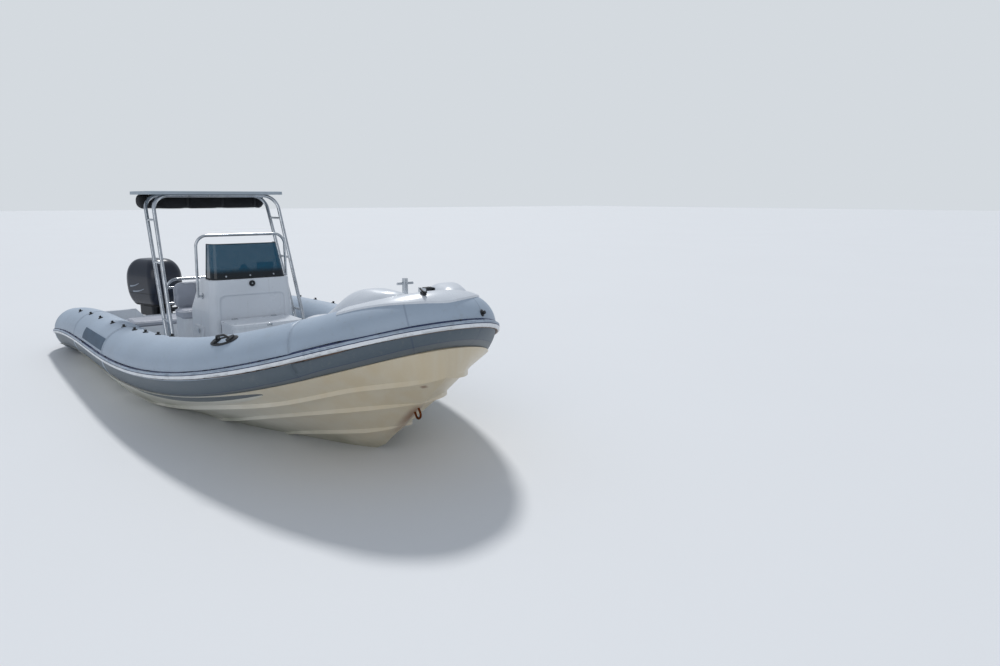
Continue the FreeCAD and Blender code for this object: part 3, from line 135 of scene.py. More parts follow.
class Paint:
    """A material under construction, with its principled shader."""

    def __init__(self, name: str) -> None:
        """Make an empty node material."""
        self.material = bpy.data.materials.new(name)
        self.material.use_nodes = True
        self.tree = self.material.node_tree
        self.shader = self.tree.nodes["Principled BSDF"]
        self._place: bpy.types.Node | None = None

    def node(self, kind: str, settings: dict | None = None,
             inputs: dict | None = None) -> bpy.types.Node:
        """Add one node.

        Args:
            kind: Blender's node type.
            settings: Attributes, set first.
            inputs: Value or Signal of each named or numbered socket.

        Returns:
            The node.
        """
        made = self.tree.nodes.new(kind)
        for key, value in (settings or {}).items():
            setattr(made, key, value)
        for key, value in (inputs or {}).items():
            if isinstance(value, Signal):
                self.tree.links.new(value.socket, made.inputs[key])
            else:
                made.inputs[key].default_value = value
        return made

    def place(self) -> Signal:
        """Object coordinates of the surface."""
        if self._place is None:
            self._place = self.node("ShaderNodeTexCoord")
        return Signal(self.tree, self._place.outputs["Object"])

    def _split(self, vector: Signal) -> tuple[Signal, Signal, Signal]:
        """The three parts of a vector."""
        made = self.node("ShaderNodeSeparateXYZ", inputs={0: vector})
        return tuple(Signal(self.tree, out) for out in made.outputs)

    def axes(self) -> tuple[Signal, Signal, Signal]:
        """The three object coordinates."""
        return self._split(self.place())

    def facing(self) -> tuple[Signal, Signal, Signal]:
        """The three parts of the surface's direction."""
        return self._split(Signal(self.tree,
                                  self.node("ShaderNodeNewGeometry").outputs["Normal"]))

    def noise(self, scale: float, detail: float = 3.0, roughness: float = 0.5) -> Signal:
        """Cloudy pattern from 0 to 1."""
        made = self.node("ShaderNodeTexNoise", inputs={
            "Vector": self.place(), "Scale": scale, "Detail": detail, "Roughness": roughness})
        return Signal(self.tree, made.outputs["Fac"])

    def streaks(self, across: float, down: float) -> Signal:
        """Runs that go down the surface, from 0 to 1, by their scale across and down."""
        turned = self.node("ShaderNodeMapping", inputs={
            "Vector": self.place(), "Scale": (across, across, down)})
        made = self.node("ShaderNodeTexNoise", inputs={
            "Vector": Signal(self.tree, turned.outputs["Vector"]), "Scale": 1.0, "Detail": 4.0})
        return Signal(self.tree, made.outputs["Fac"])

    def attribute(self, name: str) -> Signal:
        """A number that the mesh carries at each vertex."""
        made = self.node("ShaderNodeAttribute", {"attribute_name": name})
        return Signal(self.tree, made.outputs["Fac"])

    def cells(self, scale: float) -> Signal:
        """Distance to the nearest of scattered points."""
        made = self.node("ShaderNodeTexVoronoi",
                         inputs={"Vector": self.place(), "Scale": scale})
        return Signal(self.tree, made.outputs["Distance"])

    def mix(self, share: Signal | float, first: "Signal | Colour",
            second: "Signal | Colour") -> Signal:
        """Blend of two colours: a share of 0 gives the first one and 1 the second."""
        made = self.node("ShaderNodeMix", {"data_type": "RGBA"})
        self._feed(made.inputs["Factor"], share)
        self._feed(made.inputs[6], first)
        self._feed(made.inputs[7], second)
        return Signal(self.tree, made.outputs[2])

    def toned(self, cloud: Signal, colour: Colour, factor: float, lift: float = 0.0) -> Signal:
        """A colour that clouds make lighter or darker in places."""
        return self.mix(cloud, colour, scaled(colour, factor, lift))

    def soil(self, share: Signal, clean: Signal, dirt: "Shade") -> None:
        """Set the surface's colour: a clean one under dirt."""
        self.set("Base Color", self.mix(share, clean, dirt.value))

    def _feed(self, socket: bpy.types.NodeSocket, value: "Signal | float | Colour") -> None:
        """Set or link one socket."""
        if isinstance(value, Signal):
            self.tree.links.new(value.socket, socket)
        elif isinstance(value, tuple):
            socket.default_value = (*value, 1.0)
        else:
            socket.default_value = value

    def set(self, name: str, value: "Signal | float | Colour") -> None:
        """Give one socket of the principled shader its value."""
        self._feed(self.shader.inputs[name], value)

    def bump(self, height: Signal, distance: float, strength: float = 1.0) -> None:
        """Raise the surface by a pattern."""
        made = self.node("ShaderNodeBump", inputs={
            "Height": height, "Distance": distance, "Strength": strength})
        self.tree.links.new(made.outputs["Normal"], self.shader.inputs["Normal"])


class Shade(Enum):
    """Colours for a plain white light: surfaces first, then what soils them."""

    TUBE = srgb(164, 178, 193)
    # Darker lower panel of the tube, darkened further with painted shade under the strake and the
    # tube
    TUBE_LOWER_SHADED = srgb(82, 94, 103)
    TUBE_LOWEST = srgb(98, 104, 107)
    TAPE = srgb(160, 174, 189)
    NAVY = srgb(28, 44, 84)
    WHITE_BAND = srgb(232, 235, 238)
    BROWN = srgb(96, 72, 56)
    PATCH = srgb(70, 92, 112)
    HULL = srgb(222, 219, 207)
    STAIN = srgb(200, 174, 126)
    GELCOAT = srgb(220, 224, 229)
    SOLE = srgb(198, 202, 205)
    CUSHION = srgb(172, 176, 186)
    PIPING = srgb(205, 208, 214)
    CANVAS = srgb(17, 18, 21)
    AWNING = srgb(168, 178, 186)
    MOTOR = srgb(9, 20, 38)
    MOTOR_LEG = srgb(18, 22, 28)
    STRIPE = srgb(150, 160, 172)
    DARK = srgb(27, 29, 32)
    RED = srgb(150, 28, 24)
    STEEL = srgb(200, 204, 208)
    SCREEN = srgb(0, 78, 104)
    RUST = srgb(116, 62, 32)
    # Greenish colour of a painted reflection of the water on the hull near the waterline
    WATER_REFLECTION = srgb(112, 118, 88)
    ZINC = srgb(150, 152, 150)
    GLASS = srgb(10, 14, 18)
    GLASS_PALE = srgb(26, 34, 42)
    TUBE_DUST = srgb(140, 138, 128)
    STRAKE_DIRT = srgb(130, 126, 112)
    CHALK = srgb(150, 146, 130)
    TEA = srgb(150, 118, 84)
    WEAR = srgb(140, 136, 126)
    DUST = srgb(120, 116, 104)
    SALT = srgb(118, 122, 124)
    BLOOM = srgb(112, 114, 114)


def scaled(colour: Colour, factor: float, lift: float = 0.0) -> Colour:
    """A colour made lighter or darker."""
    return tuple(min(1.0, part * factor + lift) for part in colour)


@dataclass(frozen=True)
class TubeFabric:
    """Coated cloth of the collar: satin skin with a painted sunlit top, darker lower panels with
    painted shade under the strake, and glued seams.
    """

    name: str = "tube_fabric"
    # Angles round the tube of the lighter band on its top, a painted highlight of sunlight
    top: tuple[float, float, float, float] = (35.0, 80.0, 120.0, 160.0)
    lower_edge: float = -8.2
    strip_edge: float = -34.6
    bow_seam: float = 1.885
    glued_below: float = -58.0
    glued_run: tuple[float, float] = (0.25, 1.5)

    def material(self) -> bpy.types.Material:
        """Build the material."""
        paint = Paint(self.name)
        x, y, z = paint.axes()
        around, along = paint.attribute("around"), paint.attribute("along")
        cloud = paint.noise(1.6, 3.0)
        fine = paint.noise(30.0, 3.0)
        tube = Shade.TUBE.value
        toned = paint.mix(cloud.smooth(0.3, 0.7), scaled(tube, 0.95), scaled(tube, 1.05))
        # The top of the tube is painted lighter between these angles: a painted highlight where
        # sunlight falls on it
        rise, full, wane, end = self.top
        top = around.smooth(rise, full) * (1.0 - around.smooth(wane, end))
        with_sunlit_top = paint.mix(top * 0.35, toned, scaled(tube, 1.12, 0.02))
        # Below the strake the cloth is painted dark: the darker lower panel together with painted
        # shade under the strake and the tube
        below = 1.0 - around.smooth(self.lower_edge - 0.8, self.lower_edge + 0.8)
        lower = paint.mix(below, with_sunlit_top, Shade.TUBE_LOWER_SHADED.value)
        strip = 1.0 - around.smooth(self.strip_edge - 0.4, self.strip_edge + 0.4)
        lowest = paint.mix(strip * 0.8, lower, Shade.TUBE_LOWEST.value)
        edge = (around - self.strip_edge).absolute().smooth(0.8, 0.2) * 0.7
        edge = edge + (along - self.bow_seam).absolute().smooth(0.0035, 0.001) * 0.25
        lined = paint.mix(edge, lowest, Shade.NAVY.value)
        dust = fine.smooth(0.56, 0.8) * 0.16
        grime = paint.noise(7.0, 5.0, 0.6).smooth(0.55, 0.8) * 0.14
        dusty = paint.mix(dust + grime, lined, Shade.TUBE_DUST.value)
        first, last = self.glued_run
        glued = (around < self.glued_below) * (along > first) * (along < last)
        paint.set("Base Color", paint.mix(glued, dusty, scaled(Shade.HULL.value, 0.95)))
        paint.set("Roughness", 0.33 + 0.14 * cloud + 0.1 * fine)
        weave = (x * 1300.0).wave() * (y * 1300.0 + z * 1100.0).wave()
        paint.bump(weave * 0.05 + paint.noise(4.0, 2.0) * 1.2 + edge * 0.4, 0.004, 0.45)
        return paint.material


@dataclass(frozen=True)
class Strip:
    """Coated strip or webbing of one colour, a little scuffed."""

    name: str
    colour: Colour
    rough: float = 0.5
    grain: float = 900.0

    def material(self) -> bpy.types.Material:
        """Build the material."""
        paint = Paint(self.name)
        x, y, z = paint.axes()
        cloud = paint.noise(5.0, 4.0)
        toned = paint.toned(cloud.smooth(0.35, 0.7), self.colour, 0.84)
        scuff = paint.noise(26.0, 5.0, 0.65).smooth(0.6, 0.78) * 0.22
        paint.set("Base Color", paint.mix(scuff, toned, scaled(self.colour, 1.5, 0.02)))
        paint.set("Roughness", self.rough + 0.12 * cloud)
        weave = (x * self.grain).wave() * (y * self.grain + z * self.grain).wave()
        paint.bump(weave * 0.25, 0.0012, 0.5)
        return paint.material


@dataclass(frozen=True)
class StrakeRubber:
    """Rub strake: navy line, pale band, navy line, white band, and a brown lower edge."""

    name: str = "strake_rubber"

    def material(self) -> bpy.types.Material:
        """Build the material."""
        paint = Paint(self.name)
        share = paint.attribute("share")
        cloud = paint.noise(8.0, 4.0)
        white, navy = Shade.WHITE_BAND.value, Shade.NAVY.value
        shown = paint.mix(share.smooth(0.60, 0.66), white, navy)
        shown = paint.mix(share.smooth(0.14, 0.20) * (1.0 - share.smooth(0.60, 0.66)), shown,
                          Shade.TUBE.value)
        line = share.smooth(0.00, 0.05) * (1.0 - share.smooth(0.16, 0.21))
        shown = paint.mix(line, shown, navy)
        shown = paint.mix(1.0 - share.smooth(-0.74, -0.62), shown, Shade.BROWN.value)
        dirt = cloud.smooth(0.5, 0.8) * 0.2
        paint.soil(dirt, shown, Shade.STRAKE_DIRT)
        paint.set("Roughness", 0.36 + 0.16 * cloud)
        groove = line + (share - 0.62).absolute().smooth(0.08, 0.02)
        paint.bump(paint.noise(60.0, 2.0) * 0.2 - groove * 0.5, 0.0012, 0.6)
        return paint.material


@dataclass(frozen=True)
class Gelcoat:
    """Glass fibre gelcoat, smooth and glossy with faint runs and chalking."""

    name: str
    colour: Colour
    gloss: float = 0.22

    def material(self) -> bpy.types.Material:
        """Build the material."""
        paint = Paint(self.name)
        cloud = paint.noise(2.4, 4.0)
        toned = paint.toned(cloud.smooth(0.3, 0.7), self.colour, 0.94)
        runs = paint.streaks(26.0, 2.5).smooth(0.58, 0.8) * 0.16
        specks = paint.noise(55.0, 2.0).smooth(0.64, 0.8) * 0.12
        paint.soil(runs + specks, toned, Shade.CHALK)
        paint.set("Roughness", self.gloss + 0.14 * cloud)
        paint.bump(paint.noise(7.0, 2.0) + paint.noise(160.0, 1.0) * 0.02, 0.002, 0.25)
        return paint.material


@dataclass(frozen=True)
class HullGelcoat:
    """Cream hull, stained towards the stem and rusty under the bow eye, with a gripping sole."""

    name: str = "hull_gelcoat"
    inner_half: float = 1.2
    front_x: float = 2.26
    eye: tuple[float, float] = (3.16, 0.42)
    drain: Point = (3.395, -0.094, 0.659)

    def material(self) -> bpy.types.Material:
        """Build the material."""
        paint = Paint(self.name)
        x, y, z = paint.axes()
        nx, ny, nz = paint.facing()
        cloud = paint.noise(1.8, 5.0, 0.55)
        streak = paint.streaks(10.0, 1.0)
        hull = Shade.HULL.value
        base = paint.toned(cloud.smooth(0.3, 0.7), hull, 0.92)
        aged = x.smooth(1.4, 3.3) * (0.75 + 0.25 * streak.smooth(0.3, 0.7))
        stained = paint.mix(aged * 0.62, base, Shade.STAIN.value)
        # Patchy greenish band round the waterline: a painted reflection of the water
        waterline_reflection = (1.0 - (z - 0.05).absolute().smooth(0.0, 0.16)) * cloud.smooth(0.3, 0.6)
        with_water_reflection = paint.mix(waterline_reflection * 0.45, stained, Shade.WATER_REFLECTION.value)
        eye_x, eye_z = self.eye
        drip = (y.absolute() * -1.0).smooth(-0.075, -0.01) * x.smooth(eye_x - 0.7, eye_x - 0.1)
        drip = drip * (z * -1.0).smooth(-eye_z - 0.1, -eye_z + 0.02) * z.smooth(0.02, 0.4)
        dx, dy, dz = self.drain
        hole = (x - dx).absolute() + (z - dz).absolute() + (y - dy).absolute()
        spot = hole.smooth(0.05, 0.012)
        rusty = paint.mix((drip + spot) * (0.4 + 0.6 * streak), with_water_reflection, Shade.RUST.value)
        level = nz.smooth(0.7, 0.85)
        inward = (ny * y * -1.0).smooth(0.02, 0.1)
        astern = (nx * -1.0).smooth(0.7, 0.85) * x.smooth(0.0, 0.1)
        room = (y.absolute() < self.inner_half) * (x < self.front_x) * (z > 0.1)
        inside = (level + inward + astern) * room
        deck = paint.mix(inside.smooth(0.0, 0.6), rusty, Shade.SOLE.value)
        paint.set("Base Color", deck)
        floor = level * room
        paint.set("Roughness", 0.26 + 0.18 * cloud + 0.25 * floor)
        grip = (x * 420.0).wave() * (y * 420.0).wave() * floor
        paint.bump(grip * 0.3 + paint.noise(3.0, 2.0) + spot * -0.6, 0.003, 0.3)
        return paint.material


@dataclass(frozen=True)
class Steel:
    """Polished stainless steel with fine scratches and tea stains."""

    name: str
    colour: Colour = Shade.STEEL.value
    rough: float = 0.16
    stain: float = 0.35

    def material(self) -> bpy.types.Material:
        """Build the material."""
        paint = Paint(self.name)
        cloud = paint.noise(12.0, 4.0)
        tea = paint.noise(30.0, 5.0, 0.65).smooth(0.58, 0.75) * self.stain
        paint.soil(tea, paint.toned(cloud.smooth(0.4, 0.7), self.colour, 0.8), Shade.TEA)
        paint.set("Metallic", 1.0)
        paint.set("Roughness", self.rough + 0.16 * cloud + 0.3 * tea)
        paint.bump(paint.noise(240.0, 2.0), 0.0004, 0.3)
        return paint.material


@dataclass(frozen=True)
class Vinyl:
    """Padded upholstery cloth with a leather grain."""

    name: str
    colour: Colour

    def material(self) -> bpy.types.Material:
        """Build the material."""
        paint = Paint(self.name)
        cloud = paint.noise(5.0, 3.0)
        toned = paint.toned(cloud.smooth(0.35, 0.7), self.colour, 0.86)
        paint.soil(paint.noise(18.0, 5.0, 0.6).smooth(0.6, 0.8) * 0.2, toned, Shade.WEAR)
        paint.set("Roughness", 0.42 + 0.14 * cloud)
        paint.bump(paint.cells(420.0) * 0.7 + paint.noise(24.0, 2.0) * 0.5, 0.0012, 0.5)
        return paint.material


@dataclass(frozen=True)
class Canvas:
    """Woven cloth, faded in places."""

    name: str
    colour: Colour
    fade: float = 1.8

    def material(self) -> bpy.types.Material:
        """Build the material."""
        paint = Paint(self.name)
        x, y, z = paint.axes()
        cloud = paint.noise(4.0, 4.0)
        faded = paint.toned(cloud.smooth(0.4, 0.75), self.colour, self.fade, 0.004)
        paint.soil(paint.noise(22.0, 5.0, 0.6).smooth(0.58, 0.8) * 0.14, faded, Shade.DUST)
        paint.set("Roughness", 0.8 + 0.1 * cloud)
        weave = (x * 1400.0).wave() * (y * 1400.0 + z * 1400.0).wave()
        paint.bump(weave * 0.2 + paint.noise(9.0, 3.0), 0.002, 0.5)
        return paint.material


@dataclass(frozen=True)
class Lacquer:
    """Glossy motor paint with a clear coat, salt marks and fine scratches."""

    name: str
    colour: Colour
    rough: float = 0.24
    coat: float = 0.15

    def material(self) -> bpy.types.Material:
        """Build the material."""
        paint = Paint(self.name)
        cloud = paint.noise(4.0, 3.0)
        toned = paint.toned(cloud.smooth(0.4, 0.8), self.colour, 1.2, 0.001)
        salt = paint.streaks(30.0, 4.0).smooth(0.62, 0.85) * 0.05
        paint.soil(salt, toned, Shade.SALT)
        paint.set("Roughness", self.rough + 0.1 * cloud + 0.3 * salt)
        paint.set("Coat Weight", self.coat)
        paint.bump(paint.noise(90.0, 2.0), 0.0004, 0.2)
        return paint.material


@dataclass(frozen=True)
class Moulded:
    """Plain moulded plastic or rubber with a fine grain."""

    name: str
    colour: Colour
    rough: float = 0.46

    def material(self) -> bpy.types.Material:
        """Build the material."""
        paint = Paint(self.name)
        cloud = paint.noise(11.0, 3.0)
        toned = paint.toned(cloud.smooth(0.4, 0.75), self.colour, 1.25, 0.004)
        paint.soil(paint.noise(34.0, 4.0, 0.6).smooth(0.6, 0.8) * 0.16, toned, Shade.BLOOM)
        paint.set("Roughness", self.rough + 0.12 * cloud)
        paint.bump(paint.noise(380.0, 2.0), 0.0006, 0.4)
        return paint.material


@dataclass(frozen=True)
class GripPad:
    """Black non-skid pad with small studs."""

    name: str = "grip_pad"

    def material(self) -> bpy.types.Material:
        """Build the material."""
        paint = Paint(self.name)
        x, y, _ = paint.axes()
        studs = (x * 520.0).wave() * (y * 520.0).wave()
        paint.set("Base Color", paint.toned(studs.smooth(0.1, 0.7), Shade.DARK.value, 2.4, 0.01))
        paint.set("Roughness", 0.7 + 0.1 * paint.noise(8.0))
        paint.bump(studs, 0.001, 0.8)
        return paint.material


@dataclass(frozen=True)
class Dial:
    """Dark glass over an unlit instrument face."""

    name: str = "dial_glass"

    def material(self) -> bpy.types.Material:
        """Build the material."""
        paint = Paint(self.name)
        cloud = paint.noise(16.0, 3.0)
        paint.set("Base Color", paint.mix(cloud.smooth(0.3, 0.8), Shade.GLASS.value,
                                          Shade.GLASS_PALE.value))
        paint.set("Roughness", 0.06 + 0.08 * cloud)
        paint.set("Coat Weight", 0.8)
        return paint.material


@dataclass(frozen=True)
class TintedSheet:
    """Smoked windscreen sheet that the cockpit shows through."""

    name: str = "screen_tint"
    colour: Colour = Shade.SCREEN.value
    alpha: float = 0.82
    foot: tuple[float, float] = (1.13, 1.20)

    def material(self) -> bpy.types.Material:
        """Build the material."""
        paint = Paint(self.name)
        _, _, z = paint.axes()
        cloud = paint.noise(5.0, 4.0)
        foot = z.smooth(*self.foot)
        deep = scaled(self.colour, 0.06, 0.002)
        paint.set("Base Color", paint.mix(foot, deep, self.colour))
        paint.set("Roughness", 0.05 + 0.1 * cloud)
        salt = paint.noise(40.0, 4.0, 0.6).smooth(0.6, 0.8)
        paint.set("Alpha", self.alpha + 0.05 * salt + 0.16 * (1.0 - foot))
        return paint.material


Finish = (TubeFabric | Strip | StrakeRubber | Gelcoat | HullGelcoat | Steel | Vinyl | Canvas
          | Lacquer | Moulded | GripPad | Dial | TintedSheet)


@dataclass
class Wardrobe:
    """The finished materials by name, each built once."""

    made: dict[str, bpy.types.Material] = field(default_factory=dict)

    def get(self, finish: Finish) -> bpy.types.Material:
        """The material of one finish."""
        if finish.name not in self.made:
            self.made[finish.name] = finish.material()
        return self.made[finish.name]

    def dress(self, finish: Finish, *nodes: str) -> None:
        """Give CAD nodes one finish."""
        for name in nodes:
            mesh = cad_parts[name].data
            mesh.materials.clear()
            mesh.materials.append(self.get(finish))
            LOG.info("node %s wears %s", name, finish.name)


FABRIC = TubeFabric()
TAPE = Strip("tube_tape", Shade.TAPE.value, 0.4)
PATCH = Strip("wear_patch", Shade.PATCH.value, 0.55, 500.0)
BAND = StrakeRubber()
HULL = HullGelcoat()
GELCOAT = Gelcoat("console_gelcoat", Shade.GELCOAT.value)
TINT = TintedSheet()
STAINLESS = Steel("stainless")
RUSTY = Steel("rusty_steel", Shade.RUST.value, 0.5, 0.7)
ZINC = Steel("zinc", Shade.ZINC.value, 0.5)
VINYL = Vinyl("cushion_vinyl", Shade.CUSHION.value)
PIPING = Vinyl("piping_vinyl", Shade.PIPING.value)
CANVAS = Canvas("canvas", Shade.CANVAS.value)
AWNING = Canvas("awning_cloth", Shade.AWNING.value, 1.1)
WEBBING = Strip("webbing", Shade.CUSHION.value, 0.7, 1200.0)
STRAP = Strip("strap_webbing", scaled(Shade.CANVAS.value, 2.0, 0.01), 0.7, 1200.0)
MOTOR = Lacquer("motor_paint", Shade.MOTOR.value)
LEG = Lacquer("motor_leg_paint", Shade.MOTOR_LEG.value, 0.34, 0.05)
SEAL = Moulded("cowl_seal_rubber", scaled(Shade.DARK.value, 0.5), 0.6)
STRIPE = Strip("cowl_stripe", Shade.STRIPE.value, 0.35)
BLOCK = Moulded("motor_block", Shade.DARK.value, 0.6)
BLADES = Steel("propeller_steel", Shade.STEEL.value, 0.3)
DARK = Moulded("dark_plastic", Shade.DARK.value)
ROLLER = Moulded("roller_plastic", scaled(Shade.DARK.value, 1.8), 0.4)
RED = Moulded("red_plastic", Shade.RED.value, 0.35)
GRIP = GripPad()
DIAL = Dial()

SIDES = ((1, "port"), (-1, "starboard"))


def clear_selection() -> None:
    """Deselect every object."""
    for obj in list(bpy.context.selected_objects):
        obj.select_set(False)


def choose(*pieces: bpy.types.Object) -> None:
    """Select only these pieces and make the first one active."""
    clear_selection()
    for piece in pieces:
        piece.select_set(True)
    bpy.context.view_layer.objects.active = pieces[0]


@contextmanager
def editing(piece: bpy.types.Object, mode: str = "FACE") -> Iterator[None]:
    """Edit mode on one piece, picking by VERT, EDGE or FACE."""
    choose(piece)
    bpy.ops.object.mode_set(mode="EDIT")
    bpy.ops.mesh.select_mode(type=mode)
    yield
    bpy.ops.object.mode_set(mode="OBJECT")


def pick_faces(piece: bpy.types.Object, way: Point, least: float) -> None:
    """Select the faces that look a given way, in edit mode.

    Args:
        piece: The piece in edit mode.
        way: A unit direction.
        least: Cosine of the widest angle to it.
    """
    shape = bmesh.from_edit_mesh(piece.data)
    for face in shape.faces:
        face.select_set(face.normal.dot(Vector(way)) > least)
    bmesh.update_edit_mesh(piece.data)


def bake_place(piece: bpy.types.Object) -> None:
    """Move an object's place, turn and scale into its mesh."""
    choose(piece)
    bpy.ops.object.transform_apply(location=True, rotation=True, scale=True)


def on_ray(node: str, start: Sequence[float], way: Sequence[float]) -> tuple[bool, Vector, Vector]:
    """Where a ray meets a CAD node: whether it does, the point and the direction there."""
    hit, spot, facing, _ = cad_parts[node].ray_cast(Vector(start), Vector(way))
    return hit, spot, facing


@dataclass
class Workshop:
    """Adds, shapes and hands over new pieces."""

    wardrobe: Wardrobe
    parallel: float = 0.95
    face_cosine: float = 0.95
    cap_cosine: float = 0.9
    pipe_rounds: int = 3
    pipe_steps: int = 6
    merge: float = 0.00005

    def add(self, kind: str, name: str, **settings: object) -> bpy.types.Object:
        """Add a primitive to be shaped.

        Args:
            kind: Blender's name of the primitive.
            name: Name of the piece.
            settings: Its size and place.

        Returns:
            The new object.
        """
        clear_selection()
        getattr(bpy.ops.mesh, f"primitive_{kind}_add")(**settings)
        piece = bpy.context.object
        piece.name = piece.data.name = name
        return piece

    def modify(self, piece: bpy.types.Object, kind: str, **settings: object) -> None:
        """Add one modifier and apply it."""
        choose(piece)
        step = piece.modifiers.new("step", kind)
        for key, value in settings.items():
            setattr(step, key, value)
        bpy.ops.object.modifier_apply(modifier=step.name)

    def round_edges(self, piece: bpy.types.Object, width: float, segments: int = 3,
                    angle: float = 30.0) -> None:
        """Round the sharp edges."""
        self.modify(piece, "BEVEL", width=width, segments=segments, limit_method="ANGLE",
                    angle_limit=math.radians(angle))

    def settle(self, piece: bpy.types.Object, place: Point, facing: Point = (0, 0, 1),
               across: Point = (1, 0, 0)) -> None:
        """Turn a piece made at the origin and put it in its place, all within its mesh.

        Args:
            piece: A piece whose local up is +Z.
            place: Where its origin goes.
            facing: Where its local +Z points.
            across: Roughly where its local +X points.
        """
        up = Vector(facing).normalized()
        right = Vector(across)
        if abs(up.dot(right.normalized())) > self.parallel:
            right = Vector((0, 1, 0))
        right = (right - up * right.dot(up)).normalized()
        turn = Matrix((right, up.cross(right), up)).transposed().to_4x4()
        piece.matrix_world = Matrix.Translation(place) @ turn @ piece.matrix_world
        bake_place(piece)

    def twin(self, piece: bpy.types.Object, name: str) -> bpy.types.Object:
        """A copy with its own mesh."""
        copy = bpy.data.objects.new(name, piece.data.copy())
        bpy.context.scene.collection.objects.link(copy)
        return copy

    def join(self, first: bpy.types.Object, second: bpy.types.Object) -> bpy.types.Object:
        """The first piece with the second joined to it."""
        choose(first, second)
        bpy.ops.object.join()
        return first

    def belt(self, skin: bpy.types.Object, cuts: Sequence[tuple[Point, Point]],
             lift: float) -> None:
        """Keep the part of a skin between planes and raise it.

        Args:
            skin: The skin.
            cuts: A point and the outward direction of each plane.
            lift: How far it is raised.
        """
        with editing(skin):
            for place, out in cuts:
                bpy.ops.mesh.select_all(action="SELECT")
                bpy.ops.mesh.bisect(plane_co=place, plane_no=out, clear_outer=True)
            bpy.ops.mesh.select_all(action="SELECT")
            bpy.ops.transform.shrink_fatten(value=lift)

    def recess(self, piece: bpy.types.Object, rim: float, move: Point) -> None:
        """Set back the middle of a block's face, along a move into the block."""
        with editing(piece):
            pick_faces(piece, tuple(-Vector(move).normalized()), self.face_cosine)
            bpy.ops.mesh.inset(thickness=rim)
            bpy.ops.transform.translate(value=move)

    def block(self, name: str, centre: Point, size: Point, rounding: float = 0.004,
              segments: int = 3) -> bpy.types.Object:
        """A block with rounded edges."""
        piece = self.add("cube", name, size=1.0, location=centre, scale=size)
        bake_place(piece)
        self.round_edges(piece, rounding, segments)
        return piece

    def cap(self, name: str, radius: float, height: float, dish: float = 0.0,
            rim: float = 0.004, rounding: float = 0.0015, sides: int = 40) -> bpy.types.Object:
        """A turned cap that stands on the origin, with a dished top.

        Args:
            name: Name of the piece.
            radius: Outer radius.
            height: Height of the rim.
            dish: How deep the middle lies under the rim.
            rim: Width of the rim.
            rounding: Radius of its edges.
            sides: Number of sides.

        Returns:
            The piece.
        """
        piece = self.add("cylinder", name, radius=radius, depth=height, vertices=sides,
                         location=(0, 0, height / 2))
        bake_place(piece)
        if dish:
            with editing(piece):
                pick_faces(piece, (0, 0, 1), self.cap_cosine)
                bpy.ops.mesh.inset(thickness=rim)
                bpy.ops.transform.translate(value=(0, 0, -dish))
                bpy.ops.mesh.inset(thickness=rim)
        self.round_edges(piece, rounding, 2)
        return piece

    def pipe(self, name: str, points: Sequence[Point], radius: float, closed: bool = False,
             smooth: bool = True) -> bpy.types.Object:
        """A round bar along points, made a mesh.

        Args:
            name: Name of the piece.
            points: Points that the line follows.
            radius: Radius of the bar.
            closed: Whether its ends join.
            smooth: A curve through the bends, or straight runs.

        Returns:
            The piece.
        """
        clear_selection()
        line = bpy.data.curves.new(name, "CURVE")
        line.dimensions = "3D"
        line.bevel_depth = radius
        line.bevel_resolution = self.pipe_rounds
        line.resolution_u = self.pipe_steps
        line.use_fill_caps = not closed
        spline = line.splines.new("NURBS" if smooth else "POLY")
        spline.points.add(len(points) - 1)
        for knot, point in zip(spline.points, points):
            knot.co = (*point, 1.0)
        spline.use_cyclic_u = closed
        if smooth:
            spline.order_u = 3
            spline.use_endpoint_u = not closed
        piece = bpy.data.objects.new(name, line)
        bpy.context.scene.collection.objects.link(piece)
        choose(piece)
        bpy.ops.object.convert(target="MESH")
        return bpy.context.object

    def hand_over(self, piece: bpy.types.Object, finish: Finish, body: str = "boat",
                  slot: str = "", smooth: float = 38.0) -> None:
        """Smooth, dress and bind one finished piece.

        Args:
            piece: The piece.
            finish: Its finish.
            body: CAD body it rides on.
            slot: Not used.
            smooth: Edges flatter than this are smoothed.
        """
        choose(piece)
        bpy.ops.object.shade_smooth_by_angle(angle=math.radians(smooth))
        piece.data.materials.clear()
        piece.data.materials.append(self.wardrobe.get(finish))
        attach(piece, body)
        LOG.info("piece %s rides on %s", piece.name, body)

    def fit(self, piece: bpy.types.Object, finish: Finish, place: Point,
            facing: Point = (0, 0, 1), across: Point = (1, 0, 0), body: str = "boat",
            slot: str = "") -> None:
        """Settle a piece and hand it over."""
        self.settle(piece, place, facing, across)
        self.hand_over(piece, finish, body, slot)

    def node_copy(self, node: str, name: str) -> bpy.types.Object:
        """A merged copy of a CAD node's mesh."""
        copy = self.twin(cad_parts[node], name)
        with editing(copy, "VERT"):
            bpy.ops.mesh.select_all(action="SELECT")
            bpy.ops.mesh.remove_doubles(threshold=self.merge)
        return copy


class Section(NamedTuple):
    """One cross-section of the collar's tube, on the port side."""

    middle: Vector
    out: Vector
    up: Vector
    along: Vector
    radius: float


